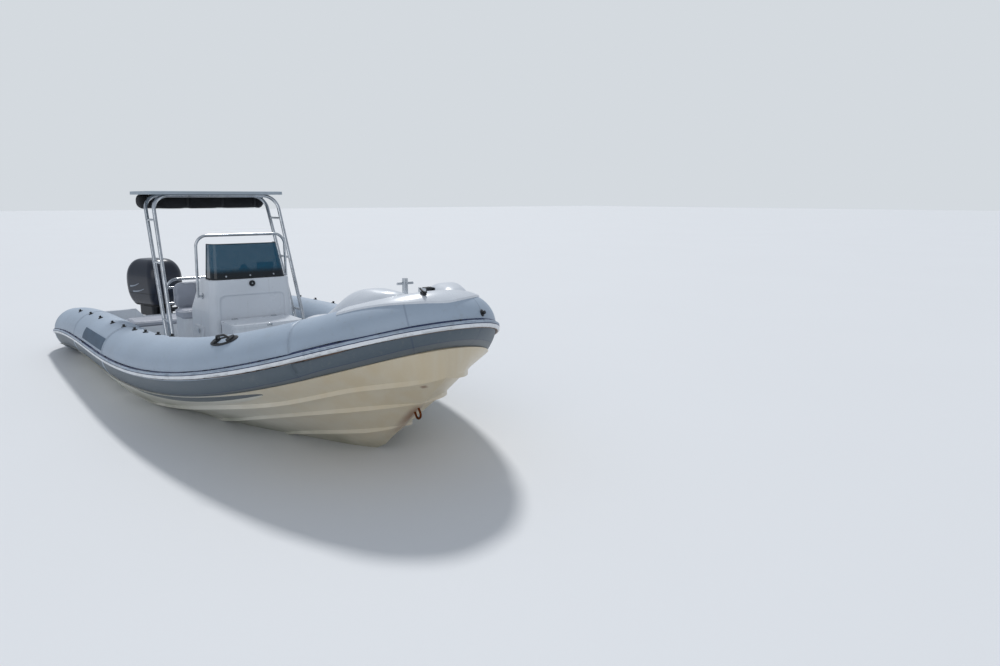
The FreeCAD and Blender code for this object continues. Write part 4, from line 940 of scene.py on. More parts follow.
@dataclass
class Collar:
    """The inflatable collar: its skins, tapes, wear patches, lacing eyes and valves."""

    shop: Workshop
    stern_x: float = -3.6
    bow_x: float = 3.6
    half_beam: float = 1.375
    tube: float = 0.26
    bow_tube: float = 0.19
    curve_length: float = 3.8
    plan_power: float = 2.1
    sheer: tuple[tuple[float, float], ...] = (
        (-3.6, 0.18), (-1.3, 0.395), (1.05, 0.495), (3.35, 1.06))
    strake_half: float = 0.037
    tape_half: float = 0.03
    tape_lift: float = 0.0014
    eyes: tuple[tuple[float, float], ...] = (
        (-2.19, 68.0), (-1.65, 72.0), (-1.17, 74.0), (-0.64, 77.0), (-0.24, 82.0),
        (0.08, 87.0), (0.36, 92.0), (0.66, 96.0), (0.98, 98.0))
    nose_eye: Point = (3.518, 0.288, 1.128)
    bury: float = 0.001
    seams: tuple[tuple[str, float], ...] = (("cone", -3.15), ("middle", -1.75))
    handle_x: float = 2.17
    handle_angle: float = 60.0
    pad_half: tuple[float, float] = (0.155, 0.058)
    pad_hole: float = 0.58
    pad_lift: float = 0.001
    pad_crown: float = 0.005
    pad_thick: float = 0.004
    valves: tuple[tuple[float, float], ...] = ((-2.4, 150.0), (0.35, 150.0))
    patch_x: tuple[float, float] = (-1.2, -0.22)
    patch_angles: tuple[float, float] = (13.0, 39.0)
    patch_grid: tuple[int, int] = (50, 12)
    patch_gap: float = 0.0004
    patch_thick: float = 0.003
    stations: int = 240
    _axis: list[Section] = field(default_factory=list)

    def axis_height(self, x: float) -> float:
        """Height of the collar's axis: the cubic through the sheer points."""
        total = 0.0
        for i, (x_i, z_i) in enumerate(self.sheer):
            for j, (x_j, _) in enumerate(self.sheer):
                if j != i:
                    z_i *= (x - x_j) / (x_i - x_j)
            total += z_i
        return total

    def plan(self, angle: float) -> Vector:
        """Outer edge in plan at one bow angle in degrees."""
        turn = math.radians(min(max(angle, 0.0), 90.0))
        power = 2 / self.plan_power
        return Vector((self.bow_x - self.curve_length * (1 - math.sin(turn) ** power),
                       self.half_beam * max(math.cos(turn), 0.0) ** power, 0.0))

    def centre(self, s: float) -> tuple[Vector, Vector, float]:
        """Axis point, plan normal and radius at a station from 0 astern to 2 at the stem."""
        curve_x = self.bow_x - self.curve_length
        if s <= 1.0:
            x = self.stern_x + s * (curve_x - self.stern_x)
            return (Vector((x, self.half_beam - self.tube, self.axis_height(x))),
                    Vector((0, 1, 0)), self.tube)
        angle = (s - 1.0) * 90.0
        run = self.plan(angle + 0.02) - self.plan(angle - 0.02)
        normal = Vector((-run.y, run.x, 0)).normalized() if angle < 89.98 else Vector((1, 0, 0))
        radius = self.tube - (self.tube - self.bow_tube) * math.sin(math.radians(angle)) ** 4
        spot = self.plan(angle) - normal * radius
        return (Vector((spot.x, max(spot.y, 0.0), self.axis_height(spot.x))), normal, radius)

    def section(self, s: float) -> Section:
        """Cross-section at a station."""
        middle, normal, radius = self.centre(s)
        step = 0.002
        run = self.centre(min(s + step, 2.0))[0] - self.centre(max(s - step, 0.0))[0]
        along = run.normalized() if s < 1.999 else Vector((0, -1, 0))
        out = (normal - along * normal.dot(along)).normalized()
        up = out.cross(along)
        return Section(middle, out, up if up.z > 0 else -up, along, radius)

    def station_of(self, point: Vector) -> float:
        """Station of a point on the port side."""
        if not self._axis:
            self._axis = [self.section(2.0 * k / self.stations)
                          for k in range(self.stations + 1)]
        low, high = 0, self.stations
        while high - low > 1:
            middle = (low + high) // 2
            if (point - self._axis[middle].middle).dot(self._axis[middle].along) > 0:
                low = middle
            else:
                high = middle
        before = (point - self._axis[low].middle).dot(self._axis[low].along)
        after = (self._axis[high].middle - point).dot(self._axis[high].along)
        share = before / (before + after) if before + after > 1e-9 else 0.0
        return 2.0 * (low + min(max(share, 0.0), 1.0)) / self.stations

    def nearest(self, place: Vector) -> tuple[float, Section, Vector]:
        """Station of a place, its section and the way from the section's middle, on port."""
        point = Vector((place.x, abs(place.y), place.z))
        s = self.station_of(point)
        section = self._axis[round(s * self.stations / 2)]
        return s, section, point - section.middle

    def station_at(self, x: float) -> float:
        """Station where the axis reaches x."""
        low, high = 0.0, 2.0
        for _ in range(30):
            middle = (low + high) / 2
            low, high = (middle, high) if self.centre(middle)[0].x < x else (low, middle)
        return low

    def spot(self, x: float, angle: float, side: int, lift: float = 0.0) -> tuple[Point, Point]:
        """Place and outward direction on the tube.

        Args:
            x: Where the axis is.
            angle: Degrees up from the widest line, 90 on top.
            side: 1 to port and -1 to starboard.
            lift: Height over the skin.

        Returns:
            The place and the direction.
        """
        there = self.section(self.station_at(x))
        turn = math.radians(angle)
        facing = there.out * math.cos(turn) + there.up * math.sin(turn)
        place = there.middle + facing * (there.radius + lift)
        return (place.x, side * place.y, place.z), (facing.x, side * facing.y, facing.z)

    def measure(self, piece: bpy.types.Object) -> None:
        """Give each vertex its station and its angle round the tube, as attributes."""
        along = piece.data.attributes.new("along", "FLOAT", "POINT")
        around = piece.data.attributes.new("around", "FLOAT", "POINT")
        for vertex in piece.data.vertices:
            s, there, run = self.nearest(vertex.co)
            angle = math.degrees(math.atan2(run.dot(there.up), run.dot(there.out)))
            along.data[vertex.index].value = s
            around.data[vertex.index].value = angle if angle > -135.0 else angle + 360.0

    def tape(self, skin: bpy.types.Object, name: str, place: Vector, along: Vector) -> None:
        """A glued tape round a skin, cut from a copy of it.

        Args:
            skin: The skin under it.
            name: Its name.
            place: A point of its middle plane.
            along: Direction of the tube there.
        """
        band = self.shop.twin(skin, name)
        self.shop.belt(band, [(place + along * (side * self.tape_half), along * side)
                              for side in (-1, 1)], self.tape_lift)
        if band.data.polygons:
            self.shop.modify(band, "SOLIDIFY", thickness=self.tape_lift, offset=-1.0)
            self.shop.hand_over(band, TAPE, slot="tube_fabric")

    def skins(self) -> None:
        """Skins that stand for the collar's nodes, with tapes over their joints."""
        joint_x = self.bow_x - self.curve_length
        joint = ("joint", Vector((joint_x, 0.0, self.axis_height(joint_x))), Vector((1, 0, 0)))
        after = [joint]
        for label, x in self.seams:
            there = self.section(self.station_at(x))
            after.append((label, there.middle, there.along))
        for side, name in SIDES:
            mirror = Vector((1, side, 1))
            for part, seams in (("aft", after), ("side", [joint])):
                skin = self.skin(f"collar_{part}_{name}", f"skin_{part}_{name}")
                for label, place, along in seams:
                    self.tape(skin, f"tape_{part}_{name}_{label}", place * mirror,
                              along * mirror)
        self.skin("collar_bow", "skin_bow")

    def skin(self, node: str, name: str) -> bpy.types.Object:
        """One skin that stands for its node."""
        skin = self.shop.node_copy(node, name)
        self.measure(skin)
        self.shop.hand_over(skin, FABRIC, smooth=50.0)
        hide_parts(node)
        return skin

    def strake(self) -> None:
        """The rub strake, with its height share as an attribute for its lines."""
        band = self.shop.node_copy("rub_strake", "strake_band")
        share = band.data.attributes.new("share", "FLOAT", "POINT")
        for vertex in band.data.vertices:
            _, there, run = self.nearest(vertex.co)
            share.data[vertex.index].value = run.dot(there.up) / self.strake_half
        self.shop.hand_over(band, BAND, slot="strake_rubber")
        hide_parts("rub_strake")

    def patches(self) -> None:
        """Long wear patch on each aft tube, laid on its skin."""
        low, high = self.patch_angles
        x0, x1 = self.patch_x
        long, wide = self.patch_grid
        for side, name in SIDES:
            patch = self.shop.add("grid", f"wear_patch_{name}", x_subdivisions=long,
                                  y_subdivisions=wide, size=1.0)
            for vertex in patch.data.vertices:
                across = min(max(vertex.co.y + 0.5, 0.0), 1.0)
                x = x0 + (x1 - x0) * min(max(vertex.co.x + 0.5, 0.0), 1.0)
                vertex.co, _ = self.spot(x, low + (high - low) * across, side, self.patch_gap)
            if side > 0:
                patch.data.flip_normals()
            self.shop.modify(patch, "SOLIDIFY", thickness=self.patch_thick, offset=1.0)
            self.shop.hand_over(patch, PATCH, slot="tube_fabric")

    def scatter(self, base: bpy.types.Object, label: str,
                spots: Sequence[tuple[float, float]]) -> None:
        """Copies of a small fitting on both tubes.

        Args:
            base: The fitting, made at the origin.
            label: Start of each copy's name.
            spots: Where each copy stands: x and angle round the tube.
        """
        for side, name in SIDES:
            for i, (x, angle) in enumerate(spots):
                self.shop.fit(self.shop.twin(base, f"{label}_{name}_{i}"), DARK,
                              *self.spot(x, angle, side, -self.bury))

    def lacing_eyes(self) -> None:
        """Small dark lacing hooks along the top of both tubes, and one at the nose."""
        base = self.shop.join(
            self.shop.cap("lacing_eye", 0.024, 0.006, sides=24),
            self.shop.cap("lacing_knob", 0.012, 0.026, 0.004, 0.003, 0.003, sides=20))
        self.scatter(base, "lacing_eye", self.eyes)
        point = Vector(self.nose_eye)
        there = self.section(self.station_of(point))
        facing = (point - there.middle).normalized()
        self.shop.fit(base, DARK, there.middle + facing * (there.radius - self.bury), facing)

    def inflation_valves(self) -> None:
        """Round valve caps on the inboard side of each chamber."""
        base = self.shop.join(
            self.shop.cap("valve", 0.036, 0.008, 0.003, 0.006, sides=36),
            self.shop.cap("valve_cover", 0.02, 0.014, 0.003, 0.006, sides=12))
        self.scatter(base, "valve", self.valves)
        bpy.data.objects.remove(base)

    def handle_pads(self) -> None:
        """Oval rubber ring round the feet of each grab handle."""
        for side, name in SIDES:
            pad = self.shop.add("cylinder", f"handle_pad_{name}", radius=1.0, depth=1.0,
                                vertices=72, end_fill_type="NOTHING")
            with editing(pad):
                bpy.ops.mesh.select_all(action="SELECT")
                bpy.ops.mesh.subdivide(number_cuts=4)
            for vertex in pad.data.vertices:
                share = vertex.co.z + 0.5
                reach = (self.pad_hole + (1.0 - self.pad_hole) * share) / math.hypot(
                    vertex.co.x, vertex.co.y)
                x = self.handle_x + vertex.co.x * reach * self.pad_half[0]
                turn = math.degrees(vertex.co.y * reach * self.pad_half[1] / self.tube)
                lift = self.pad_lift + self.pad_crown * math.sin(math.pi * share)
                vertex.co, facing = self.spot(x, self.handle_angle + turn, side, lift)
            pad.data.update()
            if pad.data.polygons[0].normal.dot(Vector(facing)) < 0:
                pad.data.flip_normals()
            self.shop.modify(pad, "SOLIDIFY", thickness=self.pad_thick, offset=0.0)
            self.shop.hand_over(pad, DARK, smooth=60.0)

    def build(self) -> None:
        """Build the whole collar."""
        self.skins()
        self.strake()
        self.patches()
        self.lacing_eyes()
        self.inflation_valves()
        self.handle_pads()


@dataclass
class Upholstery:
    """Padded cushions, blown up by the cloth solver and then sewn."""

    shop: Workshop
    slack: float = 0.012
    voxel: float = 0.006
    frames: int = 20
    pressure: float = 4.0
    swell: float = 0.012
    edge: float = 0.016
    channel: float = 0.009
    fill: float = 0.7
    piping_radius: float = 0.0042
    piping_inset: float = 0.012

    def inflate(self, pad: bpy.types.Object, floor: float | None = None) -> None:
        """Swell a closed pad with cloth.

        Args:
            pad: The pad, smaller than it shall be.
            floor: Height that it rests on, under which nothing goes.
        """
        self.shop.modify(pad, "REMESH", mode="VOXEL", voxel_size=self.voxel)
        before = [vertex.co.copy() for vertex in pad.data.vertices]
        cloth = pad.modifiers.new("cloth", "CLOTH")
        cloth.settings.use_pressure = True
        cloth.settings.uniform_pressure_force = self.pressure
        cloth.settings.effector_weights.gravity = 0.0
        cloth.point_cache.frame_end = self.frames
        for number in range(1, self.frames + 1):
            bpy.context.scene.frame_set(number)
        choose(pad)
        bpy.ops.object.modifier_apply(modifier=cloth.name)
        bpy.context.scene.frame_set(1)
        for vertex, start in zip(pad.data.vertices, before):
            run = vertex.co - start
            if run.length > self.swell:
                vertex.co = start + run.normalized() * self.swell
            if floor is not None:
                vertex.co.z = max(vertex.co.z, floor)
        self.shop.modify(pad, "SUBSURF", levels=1, render_levels=1)

    def pad(self, node: str, name: str, rounding: float, seams: Sequence[float],
            upright: bool = False) -> None:
        """One cushion in the place of its node, with sewn channels and piping.

        Args:
            node: The CAD node it stands for.
            name: Name of the piece.
            rounding: Radius of its corners.
            seams: Where sewn channels cross it, along the boat's beam.
            upright: Whether it is a backrest.
        """
        axis = 0 if upright else 2
        low, high = (Vector(corner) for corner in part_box(node))
        size = high - low - Vector((self.slack,) * 3)
        middle = (low + high) / 2
        pad = self.shop.add("cube", name, size=1.0, location=middle, scale=size)
        bake_place(pad)
        with editing(pad, "EDGE"):
            shape = bmesh.from_edit_mesh(pad.data)
            for edge in shape.edges:
                run = (edge.verts[0].co - edge.verts[1].co).normalized()
                edge.select_set(abs(run[axis]) > 0.9)
            bmesh.update_edit_mesh(pad.data)
            bpy.ops.mesh.bevel(offset=rounding, segments=8)
        self.shop.round_edges(pad, self.edge, 4)
        self.inflate(pad, None if upright else low.z)
        for vertex in pad.data.vertices:
            if vertex.co[axis] > middle[axis]:
                for seam in seams:
                    gap = abs(vertex.co.y - seam) / self.channel
                    if gap < 3.0:
                        vertex.co[axis] -= self.channel * math.exp(-gap * gap)
        self.shop.hand_over(pad, VINYL, slot="cushion_vinyl", smooth=60.0)
        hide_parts(node)
        self.piping(name, low, high, rounding, axis)

    def piping(self, name: str, low: Vector, high: Vector, rounding: float,
               axis: int) -> None:
        """Cord of trim round the face's edge.

        Args:
            name: Name of the cushion.
            low: Lower corner of its node.
            high: Upper corner.
            rounding: Radius of its corners.
            axis: The face's direction, 0 for X and 2 for Z.
        """
        (a0, a1), (b0, b1) = ((low[i] + self.piping_inset, high[i] - self.piping_inset)
                              for i in (1, 2 - axis))
        level = high[axis] - self.edge
        points = []
        for a, b, start in ((a1, b1, 0), (a0, b1, 90), (a0, b0, 180), (a1, b0, 270)):
            mid_a = a - math.copysign(rounding, a - (a0 + a1) / 2)
            mid_b = b - math.copysign(rounding, b - (b0 + b1) / 2)
            for step in range(5):
                turn = math.radians(start + 22.5 * step)
                across = mid_a + rounding * math.cos(turn)
                along = mid_b + rounding * math.sin(turn)
                points.append((along, across, level) if axis else (level, across, along))
        trim = self.shop.pipe(f"{name}_piping", points, self.piping_radius, closed=True)
        self.shop.hand_over(trim, PIPING, slot="cushion_vinyl")

    def build(self) -> None:
        """Build the cushions."""
        self.pad("helm_seat_cushion", "seat_pad", 0.06, (-0.14, 0.14))
        self.pad("helm_backrest", "back_pad", 0.09, (-0.13, 0.13), upright=True)
        self.pad("stern_bench_cushion", "bench_pad", 0.045, (-0.23, 0.23))


@dataclass
class Top:
    """Canopy cloth on the top frame, its hem and the rolled curtain under it."""

    shop: Workshop
    front: float = -0.858
    back: float = -1.632
    half: float = 0.722
    level: float = 1.9446
    sag: float = 0.008
    sag_span: float = 0.35
    grid: tuple[int, int] = (56, 96)
    hem: float = 0.034
    corner: float = 0.06
    sheet_thick: float = 0.0016
    bars: tuple[float, ...] = (-0.86, -0.925, -1.275, -1.455, -1.63)
    straps: tuple[float, ...] = (-0.56, -0.19, 0.19, 0.56)
    strap_wide: float = 0.026
    strap_thick: float = 0.003
    strap_reach: tuple[float, float] = (0.445, 0.455)
    strap_power: float = 2.6
    roll_low: Point = (-1.59, -0.712, 1.754)
    roll_high: Point = (-1.32, 0.712, 1.919)
    roll_edge: float = 0.068
    roll_voxel: float = 0.011
    roll_fill: float = 0.75
    roll_share: float = 0.96
    pinch_wide: float = 0.035
    pinch_deep: float = 0.13
    hang: float = 0.004

    def droop(self, x: float, y: float) -> float:
        """How far the cloth hangs between the frame's bars."""
        deep = 0.0
        for a, b in zip(self.bars, self.bars[1:]):
            if b <= x <= a:
                span = (a - b) / self.sag_span
                deep = self.sag * span * math.sin(math.pi * (a - x) / (a - b)) ** 2
        return deep * math.cos(math.pi / 2 * min(abs(y) / self.half, 1.0)) ** 0.5

    def sheet(self) -> None:
        """The stretched cloth, wrapped down over the ring."""
        wide, long = 2 * self.half, self.front - self.back
        cloth = self.shop.add("grid", "canopy_sheet", x_subdivisions=self.grid[0],
                              y_subdivisions=self.grid[1], size=1.0, location=(0, 0, 0))
        middle = (self.front + self.back) / 2
        for vertex in cloth.data.vertices:
            x, y = vertex.co.x * (long + 2 * self.hem), vertex.co.y * (wide + 2 * self.hem)
            over_x, over_y = abs(x) - long / 2, abs(y) - self.half
            over = max(over_x, over_y, 0.0)
            x = math.copysign(min(abs(x), long / 2), x)
            y = math.copysign(min(abs(y), self.half), y)
            in_x, in_y = abs(x) - (long / 2 - self.corner), abs(y) - (self.half - self.corner)
            if in_x > 0 and in_y > 0:
                scale = max(in_x, in_y) / math.hypot(in_x, in_y)
                x = math.copysign(long / 2 - self.corner + in_x * scale, x)
                y = math.copysign(self.half - self.corner + in_y * scale, y)
            z = self.level - self.droop(middle + x, y) - over
            ripple = self.sheet_thick * math.sin(46.0 * y + 3.0 * x) * min(over * 60.0, 1.0)
            vertex.co = (middle + x + math.copysign(ripple, x), y, z)
        self.shop.modify(cloth, "SOLIDIFY", thickness=self.sheet_thick, offset=1.0)
        self.shop.hand_over(cloth, AWNING, slot="tube_fabric", smooth=60.0)
        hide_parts("canopy")

    def roll(self) -> None:
        """The rolled black curtain, pinched by its straps."""
        low, high = Vector(self.roll_low), Vector(self.roll_high)
        middle, size = (low + high) / 2, high - low
        roll = self.shop.add("cube", "curtain_roll", size=1.0, location=middle,
                             scale=size * self.roll_share)
        bake_place(roll)
        self.shop.round_edges(roll, self.roll_edge, 8)
        self.shop.modify(roll, "REMESH", mode="VOXEL", voxel_size=self.roll_voxel)
        for vertex in roll.data.vertices:
            run = Vector((vertex.co.x - middle.x, 0.0, vertex.co.z - middle.z))
            turn = math.atan2(run.z, run.x)
            pinch = max(math.exp(-((vertex.co.y - y) / self.pinch_wide) ** 2)
                        for y in self.straps)
            fold = (0.005 * math.sin(3 * turn + 7.0 * vertex.co.y)
                    + 0.004 * math.sin(7 * turn + 2.0 + 19.0 * vertex.co.y)
                    + 0.006 * noise.noise(vertex.co * 9.0))
            scale = 1.0 - self.pinch_deep * pinch + fold / 0.12 * (1.0 - pinch * 0.6) * 0.6
            vertex.co.x = middle.x + run.x * scale
            vertex.co.z = middle.z + run.z * scale + self.hang * (1 - pinch)
        self.shop.modify(roll, "SUBSURF", levels=1, render_levels=1)
        self.shop.hand_over(roll, CANVAS, slot="canvas", smooth=60.0)
        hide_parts("canopy")
        for i, y in enumerate(self.straps):
            self.strap(f"curtain_strap_{i}", y, middle, size)

    def strap(self, name: str, y: float, middle: Vector, size: Vector) -> None:
        """Flat strap round the roll and over the frame's bar."""
        band = self.shop.add("cylinder", name, radius=1.0, depth=self.strap_wide, vertices=48,
                             end_fill_type="NOTHING", rotation=(math.pi / 2, 0, 0),
                             location=(middle.x, y, middle.z))
        bake_place(band)
        long, tall = size.x * self.strap_reach[0], size.z * self.strap_reach[1]
        power = self.strap_power
        for vertex in band.data.vertices:
            run = Vector((vertex.co.x - middle.x, 0.0, vertex.co.z - middle.z))
            reach = ((abs(run.x) / long) ** power + (abs(run.z) / tall) ** power) ** (-1 / power)
            vertex.co.x = middle.x + run.x * reach
            vertex.co.z = middle.z + run.z * reach + self.hang
        self.shop.modify(band, "SOLIDIFY", thickness=self.strap_thick, offset=1.0)
        self.shop.hand_over(band, STRAP, slot="canvas")

    def build(self) -> None:
        """Build the canopy and the curtain."""
        self.sheet()
        self.roll()


@dataclass
class Console:
    """Small fittings of the console, its screen, dash and forward seat."""

    shop: Workshop
    front: float = 0.010
    top: float = 1.082
    screen_foot: Point = (-0.020, 0.375, 0.200)
    screen_head: Point = (-0.120, 0.340, 0.140)
    screen_top: float = 1.423
    screen_edge: float = 0.0055
    screen_sill: float = 0.0085
    corner: float = 0.075
    trim_setback: float = 0.003
    sill_rise: float = 0.006
    studs: tuple[float, ...] = (-0.24, 0.0, 0.24)
    stud_set: float = 0.0075
    stud_rise: float = 0.03
    stud_way: Point = (1.0, 0.0, 0.28)
    face_top: tuple[float, float] = (-0.410, 1.082)
    face_knee: tuple[float, float] = (-0.670, 0.760)
    gauges: tuple[tuple[float, float], ...] = (
        (-0.19, 0.032), (-0.065, 0.043), (0.065, 0.043), (0.19, 0.032))
    gauge_share: float = 0.085
    socket_height: float = 1.036
    panel_spot: tuple[float, float] = (0.46, 0.275)
    panel_size: Point = (0.075, 0.2, 0.006)
    switch_size: Point = (0.03, 0.016, 0.012)
    switch_lift: float = 0.008
    switch_rock: float = 0.22
    switch_count: int = 6
    switch_pitch: float = 0.029
    display: Point = (-0.19, 0.215, 1.172)
    display_way: Point = (0.25, 0, 1)
    display_foot: Point = (-0.18, 0.215, 1.095)
    compass_foot: Point = (-0.20, 0.0, 1.152)
    compass_base: float = 0.02
    compass_radius: float = 0.04
    lid_hinge: tuple[float, float] = (0.036, 0.6915)
    lid_hinge_y: tuple[float, ...] = (-0.2, 0.2)
    lid_pin: tuple[float, float] = (0.0205, 0.6935)
    pin_length: float = 0.058
    catch: Point = (0.4405, 0.0, 0.675)
    vent_height: float = 1.035
    hatch: Point = (-0.34, 0.4357, 0.44)
    hatch_size: Point = (0.30, 0.34, 0.012)
    hatch_rim: float = 0.016
    hatch_set: float = 0.003
    hatch_pull: Point = (-0.34, 0.443, 0.55)
    hoop_foot: Point = (-0.240, 0.4142, 0.912)
    hatch_tilt: float = 0.02 / 0.64
    hoop_tilt: float = 0.078

    def helm(self, share: float, y: float, lift: float = 0.0) -> tuple[Point, Point, Point]:
        """Place, outward direction and across on the sloping helm face."""
        (x0, z0), (x1, z1) = self.face_top, self.face_knee
        length = math.hypot(x1 - x0, z1 - z0)
        out = ((z1 - z0) / length, (x0 - x1) / length)
        place = (x0 + (x1 - x0) * share + out[0] * lift, y,
                 z0 + (z1 - z0) * share + out[1] * lift)
        return place, (out[0], 0.0, out[1]), (0, 1, 0)

    def screen_row(self, size: Point, z: float) -> list[Point]:
        """Outline of the screen at one height, from its front, half width and depth."""
        front, half, side = size
        r, cut = self.corner, 0.3 * self.corner
        port = [(front, half - r), (front - cut, half - cut), (front - r, half),
                (front - side, half)]
        return [(x, -y, z) for x, y in reversed(port)] + [(x, y, z) for x, y in port]

    def screen_trim(self) -> None:
        """Dark edging along the windscreen's free edges and its foot."""
        head = self.screen_row(self.screen_head, self.screen_top)
        foot = self.screen_row(self.screen_foot, self.top)
        for name, row, radius, rise in (
                ("screen_trim", (foot[0], *head, foot[-1]), self.screen_edge, 0.0),
                ("screen_sill", foot, self.screen_sill, self.sill_rise)):
            path = [tuple(Vector(point) + Vector((-self.trim_setback, 0, rise)))
                    for point in row]
            self.shop.hand_over(self.shop.pipe(name, path, radius, smooth=False), DARK)
        for i, y in enumerate(self.studs):
            stud = self.shop.cap(f"screen_stud_{i}", 0.009, 0.005, sides=20)
            self.shop.fit(stud, STAINLESS, (self.screen_foot[0] - self.stud_set, y,
                                            self.top + self.stud_rise), self.stud_way)

    def socket(self) -> None:
        """Round black socket high on the front."""
        ring = self.shop.cap("front_socket", 0.021, 0.012, 0.006, 0.005, sides=36)
        self.shop.fit(ring, DARK, (self.front - 0.0005, 0.0, self.socket_height), (1, 0, 0))
        pin = self.shop.cap("front_socket_pin", 0.007, 0.010, 0.002, 0.002, sides=20)
        self.shop.fit(pin, STAINLESS, (self.front + 0.003, 0.0, self.socket_height), (1, 0, 0))

    def gauge(self, name: str, y: float, radius: float) -> None:
        """One round instrument: bezel, dial and needle."""
        spot = self.helm(self.gauge_share, y)
        self.shop.fit(self.shop.cap(f"{name}_bezel", radius, 0.014, 0.007, 0.006), DARK, *spot)
        dial = self.shop.cap(f"{name}_dial", radius - 0.009, 0.009, 0.001, 0.003)
        self.shop.fit(dial, DIAL, *spot, slot="dark_plastic")
        needle = self.shop.block(f"{name}_needle", (radius * 0.25, radius * 0.12, 0.0105),
                                 (radius * 0.9, 0.0026, 0.0014), 0.0005, 2)
        self.shop.fit(needle, WEBBING, *spot, slot="dark_plastic")

    def switches(self) -> None:
        """Panel of rocker switches beside the wheel."""
        thick, tall = self.panel_size[2], self.switch_size[2]
        panel = self.shop.block("switch_panel", (0, 0, thick / 2), self.panel_size, thick / 2)
        self.shop.fit(panel, DARK, *self.helm(*self.panel_spot))
        spot, out, across = self.helm(*self.panel_spot, self.switch_lift)
        along = Vector((self.face_knee[0] - self.face_top[0], 0,
                        self.face_knee[1] - self.face_top[1])).normalized()
        for i in range(self.switch_count):
            rocker = self.shop.block(f"switch_{i}", (0, 0, 0), self.switch_size, 0.004)
            with editing(rocker):
                pick_faces(rocker, (0, 0, 1), 0.9)
                bpy.ops.transform.rotate(value=self.switch_rock, orient_axis="Y",
                                         center_override=(0, 0, tall / 2))
            shift = along * ((i - (self.switch_count - 1) / 2) * self.switch_pitch)
            self.shop.fit(rocker, ROLLER if i else RED, Vector(spot) + shift, out, across,
                          slot="" if i else "dark_plastic")

    def plotter(self) -> None:
        """Small display on a bracket on the dash."""
        case = self.shop.block("display_case", (0, 0, 0), (0.03, 0.17, 0.11), 0.01, 4)
        self.shop.recess(case, 0.009, (0.004, 0, 0))
        self.shop.fit(case, DARK, self.display, self.display_way)
        glass = self.shop.block("display_glass", (-0.0145, 0, 0), (0.006, 0.142, 0.082), 0.002)
        self.shop.fit(glass, DIAL, self.display, self.display_way, slot="dark_plastic")
        self.shop.fit(self.shop.cap("display_foot", 0.032, 0.03), DARK, self.display_foot)

    def compass(self) -> None:
        """Card compass on the instrument hood."""
        base = self.shop.cap("compass_base", 0.05, self.compass_base)
        self.shop.fit(base, DARK, self.compass_foot)
        bowl = self.shop.add("uv_sphere", "compass_bowl", radius=self.compass_radius,
                             segments=32, ring_count=18)
        with editing(bowl):
            bpy.ops.mesh.select_all(action="SELECT")
            bpy.ops.mesh.bisect(plane_co=(0, 0, 0), plane_no=(0, 0, 1), clear_inner=True,
                                use_fill=True)
        x, y, z = self.compass_foot
        self.shop.fit(bowl, DIAL, (x, y, z + self.compass_base), slot="dark_plastic")

    def front_details(self) -> None:
        """Hinges and catch of the forward locker, and the vent in the console's front."""
        for i, y in enumerate(self.lid_hinge_y):
            x, z = self.lid_hinge
            leaf = self.shop.block(f"lid_hinge_{i}", (x, y, z), (0.03, 0.06, 0.003), 0.001, 2)
            self.shop.hand_over(leaf, STAINLESS, body="fore_lid_body")
            pin = self.shop.cap(f"lid_hinge_pin_{i}", 0.0045, self.pin_length, rounding=0.001,
                                sides=20)
            x, z = self.lid_pin
            self.shop.fit(pin, STAINLESS, (x, y - self.pin_length / 2, z), (0, 1, 0),
                          body="fore_lid_body")
        _, spot, facing = on_ray("console", (2.0, 0.0, self.vent_height), (-1, 0, 0))
        vent = self.shop.cap("console_vent", 0.03, 0.016, 0.006, 0.008, 0.003, 36)
        self.shop.fit(vent, DARK, spot - facing * 0.001, facing)
        catch = self.shop.block("lid_catch", self.catch, (0.006, 0.05, 0.024), 0.003)
        self.shop.hand_over(catch, STAINLESS, body="fore_lid_body")

    def on_side(self, spot: Point, side: int, tilt: float) -> tuple[Point, Point]:
        """A place on the console's side and the direction it faces."""
        x, y, z = spot
        return (x, side * y, z), (0, side, tilt)

    def side_hatches(self) -> None:
        """Flush access hatch with a finger ring low on each side."""
        for side, name in SIDES:
            hatch = self.shop.block(f"console_hatch_{name}", (0, 0, 0.004), self.hatch_size,
                                    self.hatch_size[2] / 2)
            self.shop.recess(hatch, self.hatch_rim, (0, 0, -self.hatch_set))
            self.shop.fit(hatch, GELCOAT, *self.on_side(self.hatch, side, self.hatch_tilt))
            ring = self.shop.cap(f"console_hatch_pull_{name}", 0.024, 0.005, 0.002, 0.006)
            self.shop.fit(ring, STAINLESS, *self.on_side(self.hatch_pull, side,
                                                         self.hatch_tilt))

    def hoop_feet(self) -> None:
        """Round flanges where the hoop is screwed to the console."""
        for side, name in SIDES:
            flange = self.shop.cap(f"hoop_flange_{name}", 0.03, 0.006, sides=32)
            self.shop.fit(flange, STAINLESS, *self.on_side(self.hoop_foot, side,
                                                           self.hoop_tilt))

    def build(self) -> None:
        """Build the fittings."""
        self.screen_trim()
        self.socket()
        for i, (y, radius) in enumerate(self.gauges):
            self.gauge(f"gauge_{i}", y, radius)
        self.switches()
        self.plotter()
        self.compass()
        self.front_details()
        self.side_hatches()
        self.hoop_feet()


